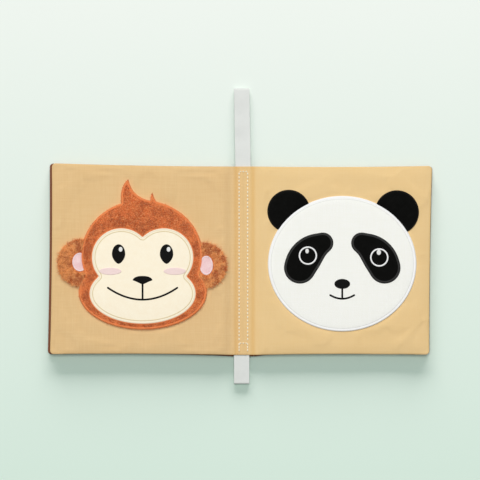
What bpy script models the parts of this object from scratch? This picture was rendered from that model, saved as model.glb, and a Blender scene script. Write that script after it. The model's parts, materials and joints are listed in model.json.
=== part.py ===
"""Crinkle cloth book, lying open at its middle spread.

Two padded cloth sheets are sewn together along one spine, which gives eight pages. Each half
of a sheet is a leaf: two cloths, a layer of wadding and a sheet of crinkle film. The lower
sheet is the cover. The upper sheet shows the middle spread, with a monkey on the left page and
a panda on the right, both with ears that lift. A woven tape runs through the spine, and its
ends stand out as a long loop at the top and a short one at the bottom.

Metres, +Z up, +X to the right and +Y towards the top of the pages. Shapes are worked out from
the middle of the spine, at table height, and book_root moves them so that the origin is under
the middle of the whole object. Shares are parts of the size that they are named after.
"""

import math

import bmesh
import bpy
import numpy as np
from mathutils import Vector

MM = 0.001
LEFT = -1
RIGHT = 1
UP = Vector((0, 0, 1))

# Sheets
PAGE_HEIGHT = 149.0 * MM
LEFT_PAGE_REACH = 151.2 * MM
RIGHT_PAGE_REACH = 147.4 * MM
COVER_PROUD_LEFT = 2.0 * MM
COVER_PROUD_RIGHT = 0.7 * MM
COVER_PROUD_TOP = 0.2 * MM
COVER_PROUD_BOTTOM = 1.0 * MM
CORNER_RADIUS = 3.0 * MM
EDGE_ROLL = 10.0 * MM
EDGE_ROLL_POWER = 2.2
SIDE_DRAW_IN = 0.6 * MM

# Layers
CLOTH = 0.5 * MM
FILM = 0.3 * MM
LEAF_THICKNESS = 3.8 * MM
FILLING_INSET = 5.0 * MM
CLEARANCE = 0.3 * MM
WELD = 0.01 * MM

# Spine
SPINE_HALF_WIDTH = 8.75 * MM
GUTTER_SLOPE = 8.0 * MM
TAPE_THICKNESS = 0.9 * MM
TAPE_PROUD = 0.15 * MM
STITCH_ROW_SPACING = 6.7 * MM
STITCH_TOP_MARGIN = 4.6 * MM
STITCH_BOTTOM_MARGIN = 8.8 * MM
STITCH_DIP = 0.25 * MM
STITCH_DIP_WIDTH = 3.6 * MM
THREAD_RADIUS = 0.4 * MM
THREAD_BEND = 1.2 * MM

# Ribbon loops
RIBBON_WIDTH = 12.0 * MM
RIBBON_THICKNESS = 0.4 * MM
RIBBON_FOLD_RADIUS = 1.0 * MM
RIBBON_DROOP = 2.0 * MM
TOP_LOOP_REACH = 61.2 * MM
BOTTOM_LOOP_REACH = 23.5 * MM
LOOP_STANDOFF = 1.05 * MM
TOP_RIBBON_OFFSET = -0.5 * MM
BOTTOM_RIBBON_OFFSET = -1.6 * MM
TOP_LOOP_LEAN = -1.1 * MM

# Cut pieces
PLUSH = 1.2 * MM
FELT = 0.7 * MM
PATCH = 0.5 * MM
PANDA_CLOTH = 1.0 * MM
SOFT_EDGE = 0.25 * MM

# Ears
EAR_ROOT_THICKNESS = 0.6 * MM
EAR_THICKNESS = 2.0 * MM
EAR_HINGE_UNDERLAP = 0.6 * MM
EAR_RIM_GAP = 1.0 * MM
EAR_ROOT_REACH = 1.6 * MM
EAR_CORNER_REACH = 0.4 * MM
EAR_CROWN_SHARES = ((0.90, 0.62), (0.78, 1.0))
EAR_CROWN_CENTRE_SHARE = 0.25
EAR_SPAN_SHARE = 0.8
EAR_LINING_SHARES = (0.15, 0.42, 0.42)

# Monkey, with its shares of its width: a lobe or an oval is its middle, half its width and
# half its height, and an ear is its middle and its radius
MONKEY_WIDTH = 101.0 * MM
MONKEY_FROM_SPINE = 79.7 * MM
MONKEY_DROP = 9.5 * MM
MONKEY_HEAD_SHARES = [
    (-0.006, 0.130, 0.468, 0.431),
    (0, 0.010, 0.448, 0.250),
    (0.001, -0.156, 0.501, 0.293),
]
MONKEY_FACE_SHARES = [
    (-0.166, 0.114, 0.2305, 0.228),
    (0.166, 0.114, 0.2305, 0.228),
    (0, -0.168, 0.415, 0.236),
]
HAIR_SHARES = [
    {
        "right_base": 79.1,
        "left_base": 83.6,
        "points": [(83.1, 0.626), (81.4, 0.583), (84.4, 0.598)],
    },
    {
        "right_base": 84.5,
        "left_base": 107.1,
        "points": [(98.8, 0.735), (98.4, 0.594), (106.1, 0.676)],
    },
]
MONKEY_EYE_SHARES = (0.187, 0.141, 0.052, 0.076)
MONKEY_GLINT_SHARES = (0.016, 0.036, 0.0165, 0.0205)
CHEEK_SHARES = (0.2515, 0.007, 0.087, 0.0285)
MONKEY_NOSE_SHARES = (-0.064, 0.077, 0.034)
MONKEY_SMILE_SHARES = (0.276, -0.121, -0.216)
MONKEY_LEFT_EAR_SHARES = (-0.481, 0.073, 0.1836)
MONKEY_RIGHT_EAR_SHARES = (0.479, 0.052, 0.1760)
NOSE_DOME_POWERS = (2.4, 0.55)
NOSE_FALL_POWER = 1.15
SMILE_WIDTH = 1.2 * MM

# Panda, with its shares of its width
PANDA_WIDTH = 117.0 * MM
PANDA_FROM_SPINE = 77.7 * MM
PANDA_DROP = 2.9 * MM
PANDA_FACE_SHARES = [(0, 0, 0.5, 0.456)]
PANDA_PATCH_SHARES = ((0.2856, -0.0266), (0.2535, 0.0995), (0.130, 0.140))
PANDA_PATCH_RADIUS_SHARES = (0.108, 0.0705, 0.0147)
PANDA_RING_SHARES = (0.0630, 0.0530)
PANDA_LEFT_RING_PLACE_SHARES = (-0.2315, 0.0543)
PANDA_RIGHT_RING_PLACE_SHARES = (0.2493, 0.0417)
PANDA_LEFT_GLINT_SHARES = (-0.0054, 0.0307, 0.0120, 0.0165)
PANDA_RIGHT_GLINT_SHARES = (-0.0027, 0.0343, 0.0145, 0.0180)
PANDA_NOSE_SHARES = (0, -0.136, 0.053, 0.0335)
PANDA_SMILE_SHARES = (0.083, -0.2085, -0.238)
PANDA_LEFT_EAR_SHARES = (-0.3605, 0.354, 0.1445)
PANDA_RIGHT_EAR_SHARES = (0.3685, 0.346, 0.1490)

# Heights that follow from the layers
BEAD = CLOTH + CLEARANCE / 2
HALF_LEAF = LEAF_THICKNESS / 2
SHEET_MIDDLE = LEAF_THICKNESS + CLEARANCE / 2
COVER_SEAM = HALF_LEAF
PAGE_SEAM = LEAF_THICKNESS + CLEARANCE + HALF_LEAF
SPINE_STEP = TAPE_THICKNESS / 2 + CLEARANCE + BEAD
COVER_HINGE = SHEET_MIDDLE - SPINE_STEP
PAGE_HINGE = SHEET_MIDDLE + SPINE_STEP
PAGE_TOP = 2 * LEAF_THICKNESS + CLEARANCE
FIRST_LAYER = PAGE_TOP + CLEARANCE

# Places that follow from the sheets
PAGE_HALF = PAGE_HEIGHT / 2
COVER_TOP = PAGE_HALF + COVER_PROUD_TOP
COVER_BOTTOM = PAGE_HALF + COVER_PROUD_BOTTOM
BAND_HALF_WIDTH = SPINE_HALF_WIDTH - BEAD - CLEARANCE
LEFT_EXTENT = LEFT_PAGE_REACH + COVER_PROUD_LEFT
RIGHT_EXTENT = RIGHT_PAGE_REACH + COVER_PROUD_RIGHT
TOP_EXTENT = PAGE_HALF + TOP_LOOP_REACH
BOTTOM_EXTENT = PAGE_HALF + BOTTOM_LOOP_REACH
BOOK_X = (LEFT_EXTENT - RIGHT_EXTENT) / 2
BOOK_Y = (BOTTOM_EXTENT - TOP_EXTENT) / 2

# Colour and roughness of each finish
FINISHES = {
    "ochre cotton": ((0.79, 0.56, 0.30), 0.9),
    "rust cotton": ((0.24, 0.08, 0.04), 0.9),
    "wadding": ((0.90, 0.90, 0.88), 1.0),
    "crinkle film": ((0.82, 0.84, 0.86), 0.25),
    "white ribbon": ((0.90, 0.90, 0.88), 0.7),
    "white thread": ((0.88, 0.86, 0.80), 0.6),
    "russet plush": ((0.52, 0.17, 0.05), 1.0),
    "cream felt": ((0.95, 0.84, 0.66), 0.95),
    "white cotton": ((0.88, 0.88, 0.85), 0.9),
    "black felt": ((0.012, 0.012, 0.012), 0.85),
    "black thread": ((0.010, 0.010, 0.010), 0.55),
    "pink thread": ((0.84, 0.56, 0.62), 0.6),
}


def clear_scene():
    for obj in list(bpy.data.objects):
        bpy.data.objects.remove(obj, do_unlink=True)


def material_for(name, finish):
    colour, roughness = FINISHES[finish]
    material = bpy.data.materials.new(name)
    material.use_nodes = True
    shader = material.node_tree.nodes["Principled BSDF"]
    shader.inputs["Base Color"].default_value = (*colour, 1)
    shader.inputs["Roughness"].default_value = roughness
    shader.inputs["Metallic"].default_value = 0
    material.diffuse_color = (*colour, 1)
    return material


def add_pivot(name, place, parent=None):
    """An empty on a joint's axis, at a place measured from the middle of the spine."""
    pivot = bpy.data.objects.new(name, None)
    pivot["place"] = place
    bpy.context.scene.collection.objects.link(pivot)
    if parent:
        pivot.parent = parent
        pivot.location = Vector(place) - Vector(parent["place"])
    return pivot


def add_piece(name, bm, finish, pivot):
    """Turns the faces outwards, moves the shape to its pivot and makes it an object."""
    bmesh.ops.recalc_face_normals(bm, faces=bm.faces)
    bmesh.ops.translate(bm, verts=bm.verts, vec=-Vector(pivot["place"]))
    mesh = bpy.data.meshes.new(name)
    bm.to_mesh(mesh)
    bm.free()
    mesh.shade_smooth()
    mesh.set_sharp_from_angle(angle=math.radians(40))
    mesh.materials.append(material_for(name, finish))
    obj = bpy.data.objects.new(name, mesh)
    bpy.context.scene.collection.objects.link(obj)
    obj.parent = pivot
    return obj


def smooth_step(share):
    share = np.clip(share, 0, 1)
    return share * share * (3 - 2 * share)


def edge_roll(distance):
    """How full a leaf is at a distance from a sewn edge: 0 at the edge, 1 past the roll."""
    return 1 - (1 - np.clip(distance / EDGE_ROLL, 0, 1)) ** EDGE_ROLL_POWER


def add_slab(name, plan_x, plan_y, low, high, finish, pivot):
    """A closed layer between two height fields over one plan grid, by extruding the upper one."""
    columns, rows = plan_x.shape[0] - 1, plan_x.shape[1] - 1
    bm = bmesh.new()
    bmesh.ops.create_grid(bm, x_segments=columns, y_segments=rows, size=1)

    def lay(verts, heights, cells):
        for vert in verts:
            i, j = cells[vert]
            vert.co = (plan_x[i, j], plan_y[i, j], heights[i, j])

    upper = list(bm.verts)
    cells = {
        v: (round((v.co.x + 1) / 2 * columns), round((v.co.y + 1) / 2 * rows)) for v in upper
    }
    spots = {(round(v.co.x, 6), round(v.co.y, 6)): cells[v] for v in upper}
    made = bmesh.ops.extrude_face_region(bm, geom=list(bm.faces))
    lower = [item for item in made["geom"] if isinstance(item, bmesh.types.BMVert)]
    lower_cells = {v: spots[(round(v.co.x, 6), round(v.co.y, 6))] for v in lower}
    lay(upper, high, cells)
    lay(lower, low, lower_cells)
    return add_piece(name, bm, finish, pivot)


def stations(start, stop, near_start, near_stop, middle):
    """Distances from start to stop, close together at both ends."""
    first = start + np.array(near_start)
    last = stop - np.array(near_stop)[::-1]
    between = np.linspace(first[-1], last[0], middle + 2)[1:-1]
    return np.concatenate([first, between, last])


class Leaf:
    """Half of a sheet: its plan, its seam and how its two faces swell apart."""

    def __init__(self, side, reach, top, bottom, hinge_height, seam_height):
        self.side = side
        self.length = reach - SPINE_HALF_WIDTH
        self.top = top
        self.bottom = bottom
        self.hinge_height = hinge_height
        self.seam_height = seam_height

    def plan(self, along, up):
        """The grid's points in plan, with the outer corners rounded and the sides drawn in."""
        s, y = np.meshgrid(along, up, indexing="ij")
        across, half_height = s / self.length, (self.top + self.bottom) / 2
        height = y / half_height
        u = np.clip(1 - (self.length - s) / CORNER_RADIUS, 0, 1)
        v_top = np.clip(1 - (self.top - y) / CORNER_RADIUS, 0, 1)
        v_low = np.clip(1 - (self.bottom + y) / CORNER_RADIUS, 0, 1)
        v = v_top + v_low
        s = s - CORNER_RADIUS * u * (1 - np.sqrt(1 - v * v / 2))
        y = y - CORNER_RADIUS * (v_top - v_low) * (1 - np.sqrt(1 - u * u / 2))
        s = s - SIDE_DRAW_IN * np.maximum(across, 0) * (1 - height**2)
        y = y - SIDE_DRAW_IN * height * 4 * np.maximum(across * (1 - across), 0)
        return s, y

    def seam(self, s):
        rise = self.seam_height - self.hinge_height
        return self.hinge_height + rise * smooth_step(s / GUTTER_SLOPE)

    def swell(self, s, y):
        """Half the leaf's thickness: a round bead on the hinge, then a slope, then full."""
        fullness = (
            smooth_step(s / GUTTER_SLOPE)
            * edge_roll(self.length - s)
            * edge_roll(self.top - y)
            * edge_roll(self.bottom + y)
        )
        bead = np.sqrt(np.maximum(BEAD**2 - np.minimum(s, 0) ** 2, 0))
        return bead + (HALF_LEAF - BEAD) * fullness

    def world_x(self, s):
        return self.side * (SPINE_HALF_WIDTH + s)

    def cloth_grid(self):
        bead = [-BEAD * math.sin(math.radians(angle)) for angle in (50, 25)]
        slope = [GUTTER_SLOPE * share / 4 for share in range(5)]
        edge = [0, CORNER_RADIUS / 3, CORNER_RADIUS, EDGE_ROLL * 0.6, EDGE_ROLL]
        along = stations(0, self.length, bead + slope, edge, 3)
        up = stations(-self.bottom, self.top, edge, edge, 3)
        return np.meshgrid(along, up, indexing="ij"), self.plan(along, up)

    def filling_grid(self):
        edge = [FILLING_INSET, EDGE_ROLL]
        along = stations(0, self.length, [GUTTER_SLOPE * 0.7, GUTTER_SLOPE], edge, 3)
        up = stations(-self.bottom, self.top, edge, edge, 3)
        return np.meshgrid(along, up, indexing="ij"), self.plan(along, up)

    def add_layers(self, name, upper_cloth, lower_cloth, finish, pivot):
        (s, y), (plan_s, plan_y) = self.cloth_grid()
        swell, seam = self.swell(s, y), self.seam(s)
        inner = np.maximum(swell - CLOTH, CLEARANCE / 2)
        x = self.world_x(plan_s)
        add_slab(f"{name}_{upper_cloth}", x, plan_y, seam + inner, seam + swell, finish, pivot)
        add_slab(f"{name}_{lower_cloth}", x, plan_y, seam - swell, seam - inner, finish, pivot)

        (s, y), (plan_s, plan_y) = self.filling_grid()
        x, seam = self.world_x(plan_s), self.seam(s)
        room = self.swell(s, y) - CLOTH - CLEARANCE
        film_low = seam + room - FILM
        add_slab(
            f"{name}_crinkle_film", x, plan_y, film_low, seam + room, "crinkle film", pivot
        )
        add_slab(
            f"{name}_wadding", x, plan_y, seam - room, film_low - CLEARANCE, "wadding", pivot
        )


def add_prism(name, outline, low, thickness, finish, pivot, soft_edge=SOFT_EDGE):
    """A flat cut piece from its outline, extruded up, with its top edge rounded over."""
    bm = bmesh.new()
    face = bm.faces.new([bm.verts.new((x, y, low)) for x, y in outline])
    made = bmesh.ops.extrude_face_region(bm, geom=[face])
    raised = [item for item in made["geom"] if isinstance(item, bmesh.types.BMVert)]
    bmesh.ops.translate(bm, verts=raised, vec=UP * thickness)
    if soft_edge:
        top_edges = [e for e in bm.edges if all(v in raised for v in e.verts)]
        bmesh.ops.bevel(
            bm, geom=top_edges, offset=soft_edge, segments=1, affect="EDGES", profile=0.5
        )
    return add_piece(name, bm, finish, pivot)


def ellipse(centre, half_width, half_height, points):
    angles = np.linspace(0, 2 * math.pi, points, endpoint=False)
    return np.stack(
        [centre[0] + half_width * np.cos(angles), centre[1] + half_height * np.sin(angles)], axis=1
    )


def farthest_ray(angles, lobes):
    """How far a ray from the middle of the face runs before it leaves the last of its lobes."""
    reach = np.zeros_like(angles)
    for x, y, half_width, half_height in lobes:
        across, up = np.cos(angles) / half_width, np.sin(angles) / half_height
        off_x, off_y = x / half_width, y / half_height
        a = across**2 + up**2
        b = across * off_x + up * off_y
        c = off_x**2 + off_y**2 - 1
        reach = np.maximum(reach, (b + np.sqrt(np.maximum(b * b - a * c, 0))) / a)
    return reach


def polar(angles, reach):
    return np.stack([reach * np.cos(angles), reach * np.sin(angles)], axis=1)


def bend(start, control, stop, points):
    """A curve from start towards control and on to stop, without its first point."""
    t = np.linspace(0, 1, points + 1)[1:, None]
    return (1 - t) ** 2 * start + 2 * t * (1 - t) * control + t**2 * stop


def outline_with_locks(lobes, locks, points):
    """A rounded outline from its lobes, drawn once round, with a lock of hair at each stretch
    that a lock's two base angles mark off. Lengths are shares of the face's width."""
    turns = []
    start = math.radians(locks[-1]["left_base"])
    for lock in locks:
        right, left = math.radians(lock["right_base"]), math.radians(lock["left_base"])
        span = (right - start) % (2 * math.pi)
        count = max(2, round(points * span / (2 * math.pi)))
        angles = start + np.linspace(0, span, count + 1)
        turns.append(polar(angles, farthest_ray(angles, lobes)))
        ends = polar(np.array([right, left]), farthest_ray(np.array([right, left]), lobes))
        tip, right_bow, left_bow = (
            polar(np.radians([angle]), np.array([reach]))[0] for angle, reach in lock["points"]
        )
        turns.append(bend(ends[0], right_bow, tip, 5))
        turns.append(bend(tip, left_bow, ends[1], 5)[:-1])
        start = left
    return np.concatenate(turns)


def kidney(start, control, stop, start_radius, stop_radius, bulge, points):
    """The outline that a disc sweeps along a bent line, with its radius given at both ends and
    a bulge added between them."""
    t = np.linspace(0, 1, points)
    line = np.concatenate([[start], bend(start, control, stop, points - 1)])
    heading = np.gradient(line, axis=0)
    heading /= np.linalg.norm(heading, axis=1)[:, None]
    normal = np.stack([-heading[:, 1], heading[:, 0]], axis=1)
    radius = (start_radius + (stop_radius - start_radius) * t + bulge * 4 * t * (1 - t))[:, None]
    turn = np.linspace(0, math.pi, points)[1:-1, None]
    far_cap = line[-1] + radius[-1] * (-normal[-1] * np.cos(turn) + heading[-1] * np.sin(turn))
    near_cap = line[0] + radius[0] * (normal[0] * np.cos(turn) - heading[0] * np.sin(turn))
    right_side, left_side = line - normal * radius, line + normal * radius
    return np.concatenate([right_side, far_cap, left_side[::-1], near_cap])


def snub_nose(half_width, height, points):
    """The outline of a nose: a flattened dome above, and sides that fall in to a stem below."""
    turn = np.linspace(0, 2 * math.pi, points, endpoint=False)
    out = np.cos(turn)
    flatness, roundness = NOSE_DOME_POWERS
    dome = np.maximum(1 - np.abs(out) ** flatness, 0) ** roundness
    fall = (1 - np.abs(out)) ** NOSE_FALL_POWER
    up = np.where(np.sin(turn) > 0, dome, -fall)
    return np.stack([half_width * out, height * up], axis=1)


def smile(half_span, corner, lowest, nose_low, width, points):
    """The outline of a mouth: a shallow bow of even width with a stem up to the nose."""
    half_stem = width / 2
    t = np.linspace(-1, 1, points)
    middle = np.stack([half_span * t, lowest + (corner - lowest) * t * t], axis=1)
    slope = 2 * (corner - lowest) * t / half_span
    normal = np.stack([-slope, np.ones_like(t)], axis=1)
    normal /= np.linalg.norm(normal, axis=1)[:, None]
    lower, upper = middle - normal * width / 2, middle + normal * width / 2
    stem_root = lowest + width / 2
    half_of_stem = [(half_stem, stem_root), (half_stem, nose_low)]
    stem = half_of_stem + [(-x, y) for x, y in reversed(half_of_stem)]
    right = upper[upper[:, 0] > half_stem * 2][::-1]
    left = upper[upper[:, 0] < -half_stem * 2][::-1]
    return np.concatenate([lower, right, stem, left])


def ear_layout(face_centre, rim, middle, radius, outward):
    """The hinge point, the direction along it and the flap's outline in plan.

    The hinge line is straight and lies just inside the face's widest rim beside the ear. The
    flap is a disc cut off along the rim. It keeps off the hinge line by a root, which is
    shorter at the corners, where the rim curves away.
    """
    along = np.array([-outward[1], outward[0]])
    middle_along, middle_out = middle @ along, middle @ outward
    facing = rim[rim @ outward > 0]
    facing = facing[np.argsort(facing @ along)]
    rim_along, rim_out = facing @ along - middle_along, facing @ outward
    hinge = rim_out[np.abs(rim_along) < radius * EAR_SPAN_SHARE].max() - EAR_HINGE_UNDERLAP

    def root(places):
        rim_here = np.interp(places, rim_along, rim_out) - hinge
        shrinking = EAR_ROOT_REACH + rim_here + EAR_RIM_GAP
        longest = np.maximum(EAR_ROOT_REACH, rim_here + EAR_RIM_GAP)
        return np.clip(shrinking, EAR_CORNER_REACH, longest)

    turn = np.linspace(-math.pi, math.pi, 361)
    clear = middle_out - hinge + radius * np.cos(turn) > root(radius * np.sin(turn))
    turn = np.linspace(turn[clear][0], turn[clear][-1], 25)
    disc = np.stack([radius * np.sin(turn), middle_out - hinge + radius * np.cos(turn)], 1)
    root_along = np.linspace(disc[-1, 0], disc[0, 0], 9)[1:-1]
    flap = np.concatenate([disc, np.stack([root_along, root(root_along)], 1)])
    base = face_centre + outward * hinge + along * middle_along
    return base, along, base + flap[:, :1] * along + flap[:, 1:] * outward


def raise_face(bm, face, to_height, centre, spread):
    """Extrudes a level face up to a height, with its outline spread about a centre."""
    made = bmesh.ops.extrude_face_region(bm, geom=[face])
    raised = next(item for item in made["geom"] if isinstance(item, bmesh.types.BMFace))
    for vert in raised.verts:
        vert.co = centre + (vert.co - centre) * spread
        vert.co.z = to_height
    return raised


def add_ear(name, outline, base, outward, finish, pivot):
    """A stuffed flap: flat below, thin at its sewn edge, and crowned above in two steps."""
    bm = bmesh.new()
    face = bm.faces.new([bm.verts.new((x, y, FIRST_LAYER)) for x, y in outline])
    reach = ((outline - base) @ outward).max()
    centre = Vector((*(base + outward * reach * EAR_CROWN_CENTRE_SHARE), 0))
    face = raise_face(bm, face, FIRST_LAYER + EAR_ROOT_THICKNESS, centre, 1)
    size = 1
    for size_share, height_share in EAR_CROWN_SHARES:
        height = EAR_ROOT_THICKNESS + (EAR_THICKNESS - EAR_ROOT_THICKNESS) * height_share
        higher = raise_face(bm, face, FIRST_LAYER + height, centre, size_share / size)
        bmesh.ops.delete(bm, geom=[face], context="FACES_ONLY")
        face, size = higher, size_share
    return add_piece(name, bm, finish, pivot)


def add_band(name, height, top, bottom, finish, pivot):
    """A sheet's flat spine, drawn in a little along the two rows of stitches."""
    row, dip = STITCH_ROW_SPACING / 2, STITCH_DIP_WIDTH / 2
    quarter = [(BAND_HALF_WIDTH, BEAD), (row + dip, BEAD), (row, BEAD - STITCH_DIP), (row - dip, BEAD)]
    upper = quarter + [(-x, z) for x, z in reversed(quarter)]
    profile = upper + [(x, -z) for x, z in reversed(upper)]
    bm = bmesh.new()
    face = bm.faces.new([bm.verts.new((x, -bottom, height + z)) for x, z in profile])
    made = bmesh.ops.extrude_face_region(bm, geom=[face])
    far = [item for item in made["geom"] if isinstance(item, bmesh.types.BMVert)]
    bmesh.ops.translate(bm, verts=far, vec=Vector((0, top + bottom, 0)))
    return add_piece(name, bm, finish, pivot)


def add_tape(pivot):
    """The tape inside the spine, a little askew so that it meets both loops."""
    half = RIBBON_WIDTH / 2
    end = PAGE_HALF + TAPE_PROUD
    outline = [
        (BOTTOM_RIBBON_OFFSET - half, -end),
        (BOTTOM_RIBBON_OFFSET + half, -end),
        (TOP_RIBBON_OFFSET + half, end),
        (TOP_RIBBON_OFFSET - half, end),
    ]
    low = SHEET_MIDDLE - TAPE_THICKNESS / 2
    add_prism("spine_tape", outline, low, TAPE_THICKNESS, "white ribbon", pivot, 0)


def add_loop(name, side, offset, lean, reach, pivot):
    """A ribbon folded back on itself: a hairpin profile, open at the sewn end, drawn across."""
    length = reach - LOOP_STANDOFF
    straight = length - RIBBON_FOLD_RADIUS - RIBBON_THICKNESS
    share = np.linspace(0, 1, 13)
    gap = CLEARANCE / 2 + (RIBBON_FOLD_RADIUS - CLEARANCE / 2) * smooth_step(share)
    turn = np.linspace(math.pi / 2, -math.pi / 2, 9)[1:-1]

    def face_line(extra):
        out = np.stack([straight * share, gap + extra], 1)
        radius = RIBBON_FOLD_RADIUS + extra
        fold = np.stack([straight + radius * np.cos(turn), radius * np.sin(turn)], 1)
        back = np.stack([straight * share[::-1], -(gap[::-1] + extra)], 1)
        return np.concatenate([out, fold, back])

    profile = np.concatenate([face_line(RIBBON_THICKNESS), face_line(0)[::-1]])
    profile[:, 1] -= RIBBON_DROOP * smooth_step(profile[:, 0] / length)
    root_y = side * (PAGE_HALF + LOOP_STANDOFF)
    bm = bmesh.new()
    half = RIBBON_WIDTH / 2
    corners = [
        bm.verts.new(
            (offset - half + lean * run / length, root_y + side * run, SHEET_MIDDLE + rise)
        )
        for run, rise in profile
    ]
    made = bmesh.ops.extrude_face_region(bm, geom=[bm.faces.new(corners)])
    far = [item for item in made["geom"] if isinstance(item, bmesh.types.BMVert)]
    bmesh.ops.translate(bm, verts=far, vec=Vector((RIBBON_WIDTH, 0, 0)))
    return add_piece(name, bm, "white ribbon", pivot)


def add_thread(pivot):
    """The box of binding stitches, as one closed thread on the spine."""
    half = STITCH_ROW_SPACING / 2
    top, bottom = PAGE_HALF - STITCH_TOP_MARGIN, -PAGE_HALF + STITCH_BOTTOM_MARGIN
    height = PAGE_HINGE + BEAD + CLEARANCE + THREAD_RADIUS
    corners = [(half, top, 0), (-half, top, 90), (-half, bottom, 180), (half, bottom, 270)]
    points = []
    for x, y, start in corners:
        centre_x = x - math.copysign(THREAD_BEND, x)
        centre_y = y - math.copysign(THREAD_BEND, y)
        for turn in np.radians(start + np.linspace(0, 90, 4)):
            bend_x, bend_y = THREAD_BEND * math.cos(turn), THREAD_BEND * math.sin(turn)
            points.append((centre_x + bend_x, centre_y + bend_y))
    curve = bpy.data.curves.new("binding_thread", "CURVE")
    curve.dimensions = "3D"
    curve.bevel_depth = THREAD_RADIUS
    curve.bevel_resolution = 1
    spline = curve.splines.new("POLY")
    spline.points.add(len(points) - 1)
    base = Vector(pivot["place"])
    for spot, (x, y) in zip(spline.points, points):
        spot.co = (*(Vector((x, y, height)) - base), 1)
    spline.use_cyclic_u = True
    curve.materials.append(material_for("binding_thread", "white thread"))
    obj = bpy.data.objects.new("binding_thread", curve)
    bpy.context.scene.collection.objects.link(obj)
    obj.parent = pivot


def add_monkey(page):
    width = MONKEY_WIDTH
    centre = np.array([-MONKEY_FROM_SPINE, -MONKEY_DROP])

    def oval(name, shares, side, low, finish, points=28):
        x, y, half_width, half_height = (width * share for share in shares)
        outline = ellipse(centre + (side * x, y), half_width, half_height, points)
        add_prism(name, outline, low, PATCH, finish, page)

    head = width * outline_with_locks(MONKEY_HEAD_SHARES, HAIR_SHARES, 64)
    add_prism("monkey_head", centre + head, FIRST_LAYER, PLUSH, "russet plush", page)
    face_low = FIRST_LAYER + PLUSH + CLEARANCE
    angles = np.linspace(0, 2 * math.pi, 60, endpoint=False) + math.pi / 2
    face = width * polar(angles, farthest_ray(angles, MONKEY_FACE_SHARES))
    add_prism("monkey_face", centre + face, face_low, FELT, "cream felt", page)

    detail_low = face_low + FELT + CLEARANCE
    glint_low = detail_low + PATCH + CLEARANCE
    eye_x, eye_y = MONKEY_EYE_SHARES[:2]
    for side, word in ((LEFT, "left"), (RIGHT, "right")):
        oval(f"monkey_{word}_eye", MONKEY_EYE_SHARES, side, detail_low, "black thread")
        oval(f"monkey_{word}_cheek", CHEEK_SHARES, side, detail_low, "pink thread")
        off_x, off_y, half_width, half_height = MONKEY_GLINT_SHARES
        glint = (side * eye_x + off_x, eye_y + off_y, half_width, half_height)
        oval(f"monkey_{word}_eye_glint", glint, RIGHT, glint_low, "white thread", 12)
    level, half_width, height = (width * share for share in MONKEY_NOSE_SHARES)
    nose = centre + (0, level) + snub_nose(half_width, height, 36)
    add_prism("monkey_nose", nose, detail_low, PATCH, "black thread", page, 0)
    half_span, corner, lowest = (width * share for share in MONKEY_SMILE_SHARES)
    mouth = smile(half_span, corner, lowest, level - height - CLEARANCE, SMILE_WIDTH, 25)
    add_prism("monkey_mouth", centre + mouth, detail_low, PATCH, "black thread", page, 0)

    for side, word, shares in (
        (LEFT, "left", MONKEY_LEFT_EAR_SHARES),
        (RIGHT, "right", MONKEY_RIGHT_EAR_SHARES),
    ):
        x, y, radius = (width * share for share in shares)
        outward = np.array([side, 0])
        base, along, outline = ear_layout(centre, head, np.array([x, y]), radius, outward)
        pivot = add_pivot(f"monkey_{word}_ear_hinge", (*base, FIRST_LAYER), page)
        add_ear(f"monkey_{word}_ear", outline, base, outward, "russet plush", pivot)
        set_back, deep, tall = (radius * share for share in EAR_LINING_SHARES)
        turn = np.radians(np.linspace(-90, 90, 15))[:, None]
        start = base + outward * set_back
        lining = start + outward * deep * np.cos(turn) + along * tall * np.sin(turn)
        lining_low = FIRST_LAYER + EAR_THICKNESS + CLEARANCE
        add_prism(f"monkey_{word}_ear_lining", lining, lining_low, PATCH, "pink thread", pivot)


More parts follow.
